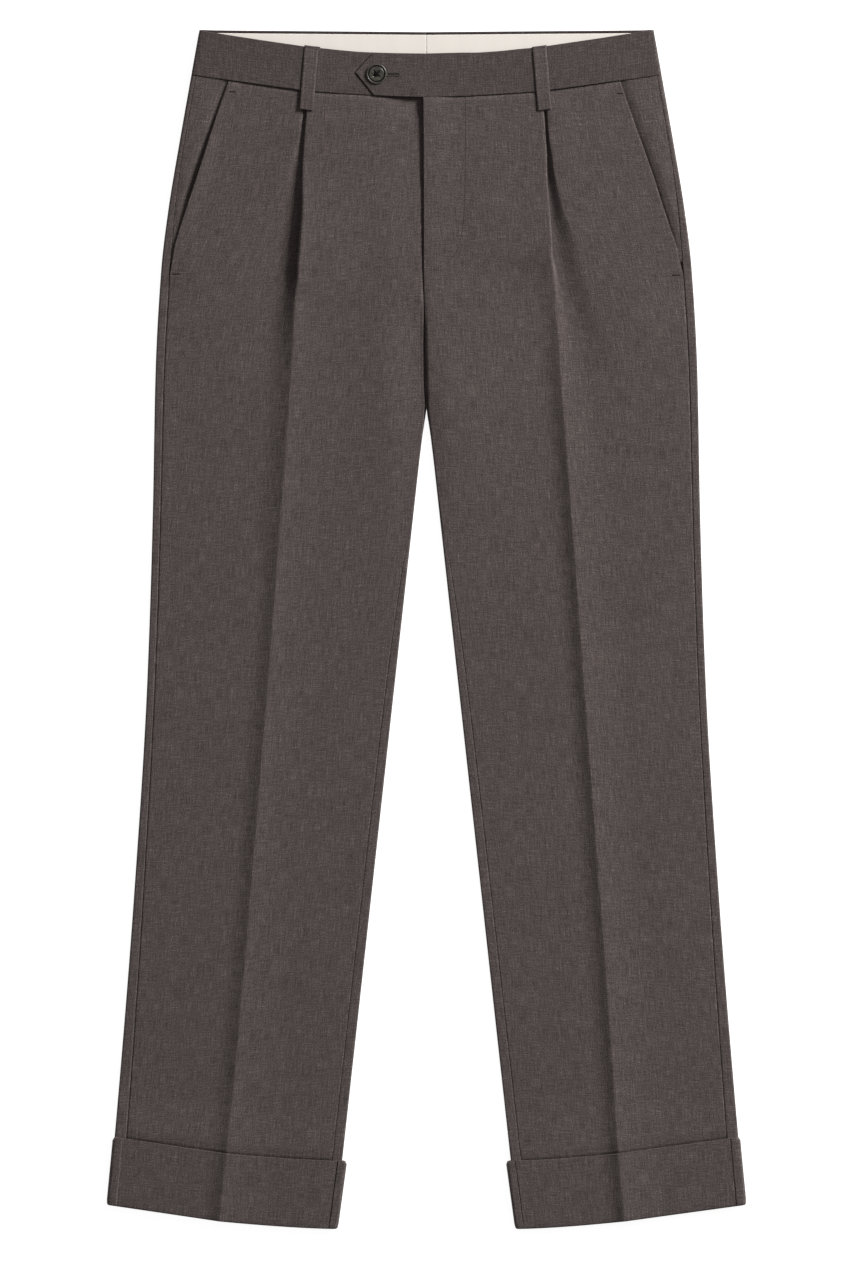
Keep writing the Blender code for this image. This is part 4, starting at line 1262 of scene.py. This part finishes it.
def make_lining(side):
    inner = SEAM_GAP / 2
    halves = [LINING_OUTER, LINING_OUTER - EDGE, *np.linspace(LINING_OUTER, inner, LINING_COLUMNS)[1:-1],
              inner + EDGE, inner]
    tops = [LINING_TOP + back_dip(half) for half in halves]
    rows = [[place(side, half, LINING_RISE, top + (LINING_BOTTOM - top) * down)
             for half, top in zip(halves, tops)] for down in LINING_DOWNS]
    cloth = [[(half, down * LINING_DEEP) for half in halves] for down in LINING_DOWNS]
    name = SIDE_NAMES[side]
    piece = cloth_of("lining_" + name, rows, cloth, LINING_CLOTH, LINING)


# -------------------------------------------------- belt loops

LOOP_WIDTH = 12.4
LOOP_LENGTH = 60  # on the flat cloth
LOOP_CLOTH = 0.9
# Half and drop of each loop's top and bottom.  A front loop's folded end is wider outside and inside.
FRONT_LOOPS = {
    RIGHT: ((105.8, 15.0), (110.6, 73.5), (0.0, 1.9)),
    LEFT: ((103.6, 15.0), (108.6, 73.5), (0.5, 0.3))}
FRONT_LOOP_RISE = 8.4
FRONT_LOOP_BOW = 0.2
SIDE_LOOP = ((140.0, 2.0), (140.0, 61.0))
BACK_LOOP = ((0.0, 2.0), (0.0, 61.0))
LOOP_FOLD = 0.045  # the folded end at the top takes this share of the length
LOOP_FLARE = LOOP_FOLD * 1.6  # and is wider down to here
LOOP_FOLD_DIP = 0.45
LOOP_FOLD_LINE = 0.012  # half width of the line under it
LOOP_RIDGE = (0.78, 0.13, 0.13)  # a ridge along each side: its place, width and height
LOOP_EDGE = 0.84  # the sides roll down from here
LOOP_EDGE_FALL = 0.3
LOOP_COLUMNS = 25
LOOP_SHARES = np.concatenate([[0, 0.008], np.linspace(0, 1, 49)[1:-1], [0.992, 1]])


def loop_across(across):
    """Height over a loop's width: two soft ridges, and sides that roll down."""
    ridge_at, width, height = LOOP_RIDGE
    ridge = height * math.exp(-((abs(across) - ridge_at) / width) ** 2)
    return ridge - LOOP_EDGE_FALL * (max(abs(across) - LOOP_EDGE, 0) / (1 - LOOP_EDGE)) ** 2


def make_loop(node, side, top, bottom, rise=LOOP_CLOTH / 2, bow=0.0, slant=0.0, flare=(0.0, 0.0), worked=0.0):
    """A belt loop from top to bottom; worked is the share of its fold, its ridges and its rolled sides."""
    rows, cloth = [], []
    for share in LOOP_SHARES:
        half = top[0] + (bottom[0] - top[0]) * share
        drop = top[1] + (bottom[1] - top[1]) * share
        height = rise + bow * math.sin(math.pi * share)
        height -= worked * LOOP_FOLD_DIP * math.exp(-((share - LOOP_FOLD) / LOOP_FOLD_LINE) ** 2)
        widened = fade(share, 0.0, LOOP_FLARE)
        row = []
        for across in np.linspace(-1, 1, LOOP_COLUMNS):
            reach = LOOP_WIDTH / 2 + (flare[1] if across > 0 else flare[0]) * widened
            z = height + worked * loop_across(across)
            row.append(place(side, half - across * reach, z, drop + across * slant / 2))
        rows.append(row)
        cloth_line = np.linspace(LOOP_CUT, LOOP_CUT + LOOP_WIDTH, LOOP_COLUMNS)
        cloth.append([(u, share * LOOP_LENGTH) for u in cloth_line])
    piece = cloth_of(node, rows, cloth, LOOP_CLOTH, WOOL)


def make_loops():
    for side, name in SIDE_NAMES.items():
        top, bottom, flare = FRONT_LOOPS[side]
        slant = LOOP_WIDTH * DROP_TO_CREASE / (BAND_OUTER_BOTTOM - top[0])
        make_loop("loop_front_" + name, side, top, bottom, FRONT_LOOP_RISE, FRONT_LOOP_BOW, slant, flare, 1.0)
        make_loop("loop_side_" + name, side, *SIDE_LOOP)
    make_loop("loop_back", RIGHT, *BACK_LOOP)


for each_side in (RIGHT, LEFT):
    make_panels(each_side)
    make_facing(each_side)
    make_waistband(each_side)
    make_lining(each_side)
    make_cuffs(each_side)
make_loops()


# -------------------------------------------------- sewing and button

ABOVE_ALL = 0.05  # metres


def surface(*names):
    """A tree of the faces of named pieces, for laying sewing on them."""
    points, faces = [], []
    for name in names:
        piece = bpy.data.objects[name]
        start = len(points)
        points += [piece.matrix_world @ corner.co for corner in piece.data.vertices]
        faces += [[start + index for index in face.vertices] for face in piece.data.polygons]
    return BVHTree.FromPolygons(points, faces)


def top_of(tree, x, y):
    spot = tree.ray_cast(Vector((x * MM, y * MM, ABOVE_ALL)), Vector((0, 0, -1)))[0]
    return spot.z / MM


def rounded(corners, rounds=3):
    """A path with its corners cut, again and again."""
    points = [np.array(corner, dtype=float) for corner in corners]
    for _ in range(rounds):
        cut = [points[0]]
        for start, end in zip(points, points[1:]):
            cut += [start * 0.75 + end * 0.25, start * 0.25 + end * 0.75]
        points = [*cut, points[-1]]
    return np.array(points)


def tube(run, radius, sides=6):
    """Points and faces of a closed tube along a run of points."""
    run = np.array(run, dtype=float)
    ahead = np.gradient(run, axis=0)
    ahead /= np.linalg.norm(ahead, axis=1, keepdims=True)
    beside = np.cross(ahead, (0, 0, 1))
    beside /= np.maximum(np.linalg.norm(beside, axis=1, keepdims=True), 1e-9)
    above = np.cross(beside, ahead)
    points = []
    for index in range(len(run)):
        for side in range(sides):
            angle = math.tau * side / sides
            spoke = beside[index] * math.cos(angle) + above[index] * math.sin(angle)
            points.append(run[index] + radius * spoke)
    faces = []
    for index in range(len(run) - 1):
        for side in range(sides):
            after = (side + 1) % sides
            a, b = index * sides + side, index * sides + after
            faces.append((a, b, b + sides, a + sides))
    last = (len(run) - 1) * sides
    faces.append(tuple(range(sides))[::-1])
    faces.append(tuple(last + side for side in range(sides)))
    return points, faces


def threads(name, runs, radius, finish):
    """One piece of sewing: a tube along each run."""
    points, faces = [], []
    for run in runs:
        more_points, more_faces = tube(run, radius)
        faces += [tuple(len(points) + index for index in face) for face in more_faces]
        points += more_points
    piece = linked(name, (np.array(points) * MM).tolist(), faces, finish)
    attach(piece, "root")


# Length, gap and height of the fly's stitches, and how deep their ends go in.
STITCH_LENGTH, STITCH_GAP, STITCH_STAND, STITCH_SUNK = 2.0, 0.7, 0.16, 0.08
STITCH_POINTS = 5
STITCH_RADIUS = 0.15


def stitches(tree, path):
    """Runs of thread along a path of (x, y): each stands out of the cloth and goes in at its ends."""
    steps = np.linalg.norm(np.diff(path, axis=0), axis=1)
    distance = np.concatenate([[0], np.cumsum(steps)])
    runs = []
    at = 0.0
    while at + STITCH_LENGTH < distance[-1]:
        run = []
        for share in np.linspace(0, 1, STITCH_POINTS):
            x, y = (np.interp(at + STITCH_LENGTH * share, distance, path[:, axis]) for axis in (0, 1))
            run.append((x, y, top_of(tree, x, y) - STITCH_SUNK + STITCH_STAND * math.sin(math.pi * share)))
        runs.append(run)
        at += STITCH_LENGTH + STITCH_GAP
    return runs


# The tacks at the ends of the pocket mouths: x, y and width.
TACKS = ((229.8, 326.0, 7.0), (-229.8, 327.0, 7.0), (178.2, 493.0, 5.2), (-178.2, 494.5, 5.2))
TACK_ROWS = (-0.32, 0.0, 0.32)  # the long threads, and their height
TACK_STAND = 0.08
TACK_RADIUS = 0.17
TACK_POINTS = 7
OVER_SPAN = 0.48  # the short threads reach this far from the middle, as a share of the width
# The short threads over them: how many, their lean, reach, height and fall at their ends.
OVER_TACK, OVER_LEAN, OVER_REACH, OVER_STAND, OVER_FALL = 15, 0.15, 0.6, 0.2, 0.3


def bar_tack(tree, x, y, width):
    """Close parallel threads with short ones over them."""
    runs = []
    for row in TACK_ROWS:
        spots = [(x + width * share, y + row) for share in np.linspace(-0.5, 0.5, TACK_POINTS)]
        runs.append([(*spot, top_of(tree, *spot) + TACK_STAND) for spot in spots])
    for share in np.linspace(-OVER_SPAN, OVER_SPAN, OVER_TACK):
        across = x + width * share
        height = top_of(tree, across, y) + OVER_STAND
        runs.append([(across + OVER_LEAN * end, y + OVER_REACH * end, height - OVER_FALL * abs(end))
                     for end in (-1, 0, 1)])
    return runs


# The buttonhole: its slit from start to end, and its purl as (distance from the slit, height).
HOLE_START, HOLE_END, HOLE_Y = -35.6, -24.6, 510.4
HOLE_PITCH = 0.58
PURL_SIDE = ((0.35, -0.1), (0.9, 0.16), (1.7, 0.14), (2.2, -0.12))
PURL_END = ((0.4, -0.1), (1.0, 0.16), (1.8, 0.14), (2.5, -0.12))
PURL_TURNS = np.linspace(95, 265, 10)  # degrees, round the end by the button
PURL_RADIUS = 0.2
SLIT_RADIUS = 0.2
SLIT_SUNK = 0.02
SLIT_POINTS = 12


def make_buttonhole(tree):
    runs = []
    for x in np.arange(HOLE_START, HOLE_END, HOLE_PITCH):
        top = top_of(tree, x, HOLE_Y)
        for up in (-1, 1):
            runs.append([(x, HOLE_Y + up * far, top + stand) for far, stand in PURL_SIDE])
    top = top_of(tree, HOLE_START, HOLE_Y)
    for turn in np.radians(PURL_TURNS):
        runs.append([(HOLE_START + math.cos(turn) * far, HOLE_Y + math.sin(turn) * far, top + stand)
                     for far, stand in PURL_END])
    threads("buttonhole", runs, PURL_RADIUS, PURL)
    # The slit is a near-black thread laid in the cut: painted shade of the opening.
    slit = [(x, HOLE_Y, top_of(tree, x, HOLE_Y) - SLIT_SUNK)
            for x in np.linspace(HOLE_START, HOLE_END, SLIT_POINTS)]
    threads("buttonhole_slit", [slit], SLIT_RADIUS, SHADE_THREAD)


BUTTON_HOLE = 1.85  # from the middle, along X and along Y
BUTTON_FLAT = 3.6  # radius of the middle with its four holes
BUTTON_FLAT_STEPS = 26
BUTTON_STEPS = 3  # rings between the other points of the profile
# Radius and height of the button's surface, from the middle to the underside.
BUTTON_PROFILE = (
    (0.0, 0.75), (BUTTON_FLAT, 0.78), (5.8, 0.85), (6.5, 0.92), (6.8, 0.75), (7.1, 0.22), (7.5, 0.22),
    (7.75, 0.8), (8.2, 1.25), (8.6, 1.35), (9.0, 1.2), (9.3, 0.9), (9.45, 0.6), (9.35, 0.3), (9.0, 0.08),
    (8.2, 0.0), (0.0, 0.0))
WELL_DEPTH = 0.68
WELL_RADII = (0.9, 1.3)  # of a hole's floor and of its mouth
BUTTON_SEGMENTS = 96
# The button's thread: share of the way from the middle to a hole and height, and each strand's shift.
BUTTON_STRAND = ((-1.0, 0.3), (-0.8, 0.8), (-0.4, 1.05), (0.4, 1.05), (0.8, 0.8), (1.0, 0.3))
STRAND_SHIFT = 0.38
STRAND_RADIUS = 0.5


def button_rings():
    """Radius, height and depth of the holes for each ring, without the two middle points."""
    rings = []
    for (radius, height), (next_radius, next_height) in zip(BUTTON_PROFILE, BUTTON_PROFILE[1:]):
        holed = next_radius == BUTTON_FLAT
        count = BUTTON_FLAT_STEPS if holed else BUTTON_STEPS
        for step in range(count):
            share = (step + 1) / count
            rings.append((radius + (next_radius - radius) * share, height + (next_height - height) * share,
                          WELL_DEPTH if holed else 0))
    return rings[:-1]


def make_button():
    rings = button_rings()
    wells = [(x * BUTTON_HOLE, y * BUTTON_HOLE) for x in (-1, 1) for y in (-1, 1)]
    points, faces = [(0, 0, BUTTON_PROFILE[0][1])], []
    for radius, height, well in rings:
        for segment in range(BUTTON_SEGMENTS):
            angle = math.tau * segment / BUTTON_SEGMENTS
            x, y = radius * math.cos(angle), radius * math.sin(angle)
            nearest = min(math.hypot(x - wx, y - wy) for wx, wy in wells)
            points.append((x, y, height - well * fade(nearest, *WELL_RADII)))
    points.append((0, 0, 0))
    for segment in range(BUTTON_SEGMENTS):
        after = (segment + 1) % BUTTON_SEGMENTS
        faces.append((0, 1 + segment, 1 + after))
        for index in range(len(rings) - 1):
            start = 1 + index * BUTTON_SEGMENTS
            below = start + BUTTON_SEGMENTS
            faces.append((start + segment, below + segment, below + after, start + after))
        start = 1 + (len(rings) - 1) * BUTTON_SEGMENTS
        faces.append((start + segment, len(points) - 1, start + after))
    corner = np.array((BUTTON_X, BUTTON_Y, BUTTON_BASE))
    piece = linked("button_horn", ((np.array(points) + corner) * MM).tolist(), faces, HORN)
    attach(piece, "root")
    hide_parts("button")
    runs = [[(BUTTON_X + BUTTON_HOLE * share + shift * slope, BUTTON_Y + slope * BUTTON_HOLE * share - shift,
              BUTTON_BASE + height) for share, height in BUTTON_STRAND]
            for slope in (-1, 1) for shift in (-STRAND_SHIFT, STRAND_SHIFT)]
    threads("button_thread", runs, STRAND_RADIUS, SHADE_THREAD)


front_tree = surface("front_left_cloth", "front_right_cloth")
threads("fly_stitching", stitches(front_tree, rounded(FLY_SEWN)), STITCH_RADIUS, THREAD)
tack_runs = [run for tack in TACKS for run in bar_tack(front_tree, *tack)]
threads("pocket_tacks", tack_runs, TACK_RADIUS, TACK_THREAD)
make_buttonhole(surface("waistband_left_cloth"))
make_button()

# -------------------------------------------------- studio

FLOOR_REACH = 6.0  # metres
FLOOR_LEVEL = -0.0002
FLOOR_GREY = 0.5
FLOOR_GLOW = 0.88
pale = Nodes("pale_floor")
pale.surface(Base_Color=(FLOOR_GREY, FLOOR_GREY, FLOOR_GREY, 1), Roughness=0.9, Emission_Color=(1, 1, 1, 1),
             Emission_Strength=FLOOR_GLOW)
floor_corners = [(x * FLOOR_REACH, y * FLOOR_REACH, FLOOR_LEVEL)
                 for x, y in ((-1, -1), (1, -1), (1, 1), (-1, 1))]
floor = linked("floor", floor_corners, [(0, 1, 2, 3)], pale.material)

KEY_ELEVATION = 23.0
KEY_AZIMUTH = 39.0  # from +X towards +Y
KEY_DISTANCE = 7.0
KEY_STRENGTH = 6.2
KEY_SIZE = 2.1
key = bpy.data.lights.new("key", "AREA")
key.energy = KEY_STRENGTH * math.pi * KEY_DISTANCE ** 2
key.size = KEY_SIZE
key_light = bpy.data.objects.new("key", key)
bpy.context.scene.collection.objects.link(key_light)
elevation, azimuth = math.radians(KEY_ELEVATION), math.radians(KEY_AZIMUTH)
towards = Vector((math.cos(elevation) * math.cos(azimuth), math.cos(elevation) * math.sin(azimuth),
                  math.sin(elevation)))
key_light.location = towards * KEY_DISTANCE
key_light.rotation_mode = "QUATERNION"
key_light.rotation_quaternion = towards.to_track_quat("Z", "Y")

SKY_STRENGTH = 0.25
world = bpy.data.worlds.new("studio")
bpy.context.scene.world = world
world.use_nodes = True
sky = world.node_tree.nodes["Background"]
sky.inputs["Color"].default_value = (1, 1, 1, 1)
sky.inputs["Strength"].default_value = SKY_STRENGTH
bpy.context.scene.view_settings.view_transform = "Standard"

camera_data = bpy.data.cameras.new("camera")
camera = bpy.data.objects.new("camera", camera_data)
bpy.context.scene.collection.objects.link(camera)
SENSOR, LENS = 36, 600
camera_data.sensor_fit = "AUTO"
camera_data.sensor_width = SENSOR
camera_data.lens = LENS
IMAGE_HEIGHT = 1.1776  # metres of the scene over the image's height
IMAGE_MIDDLE = -0.0097
camera.location = (0, IMAGE_MIDDLE, IMAGE_HEIGHT * LENS / SENSOR)
camera_data.clip_start = 0.1
camera_data.clip_end = 100
bpy.context.scene.camera = camera
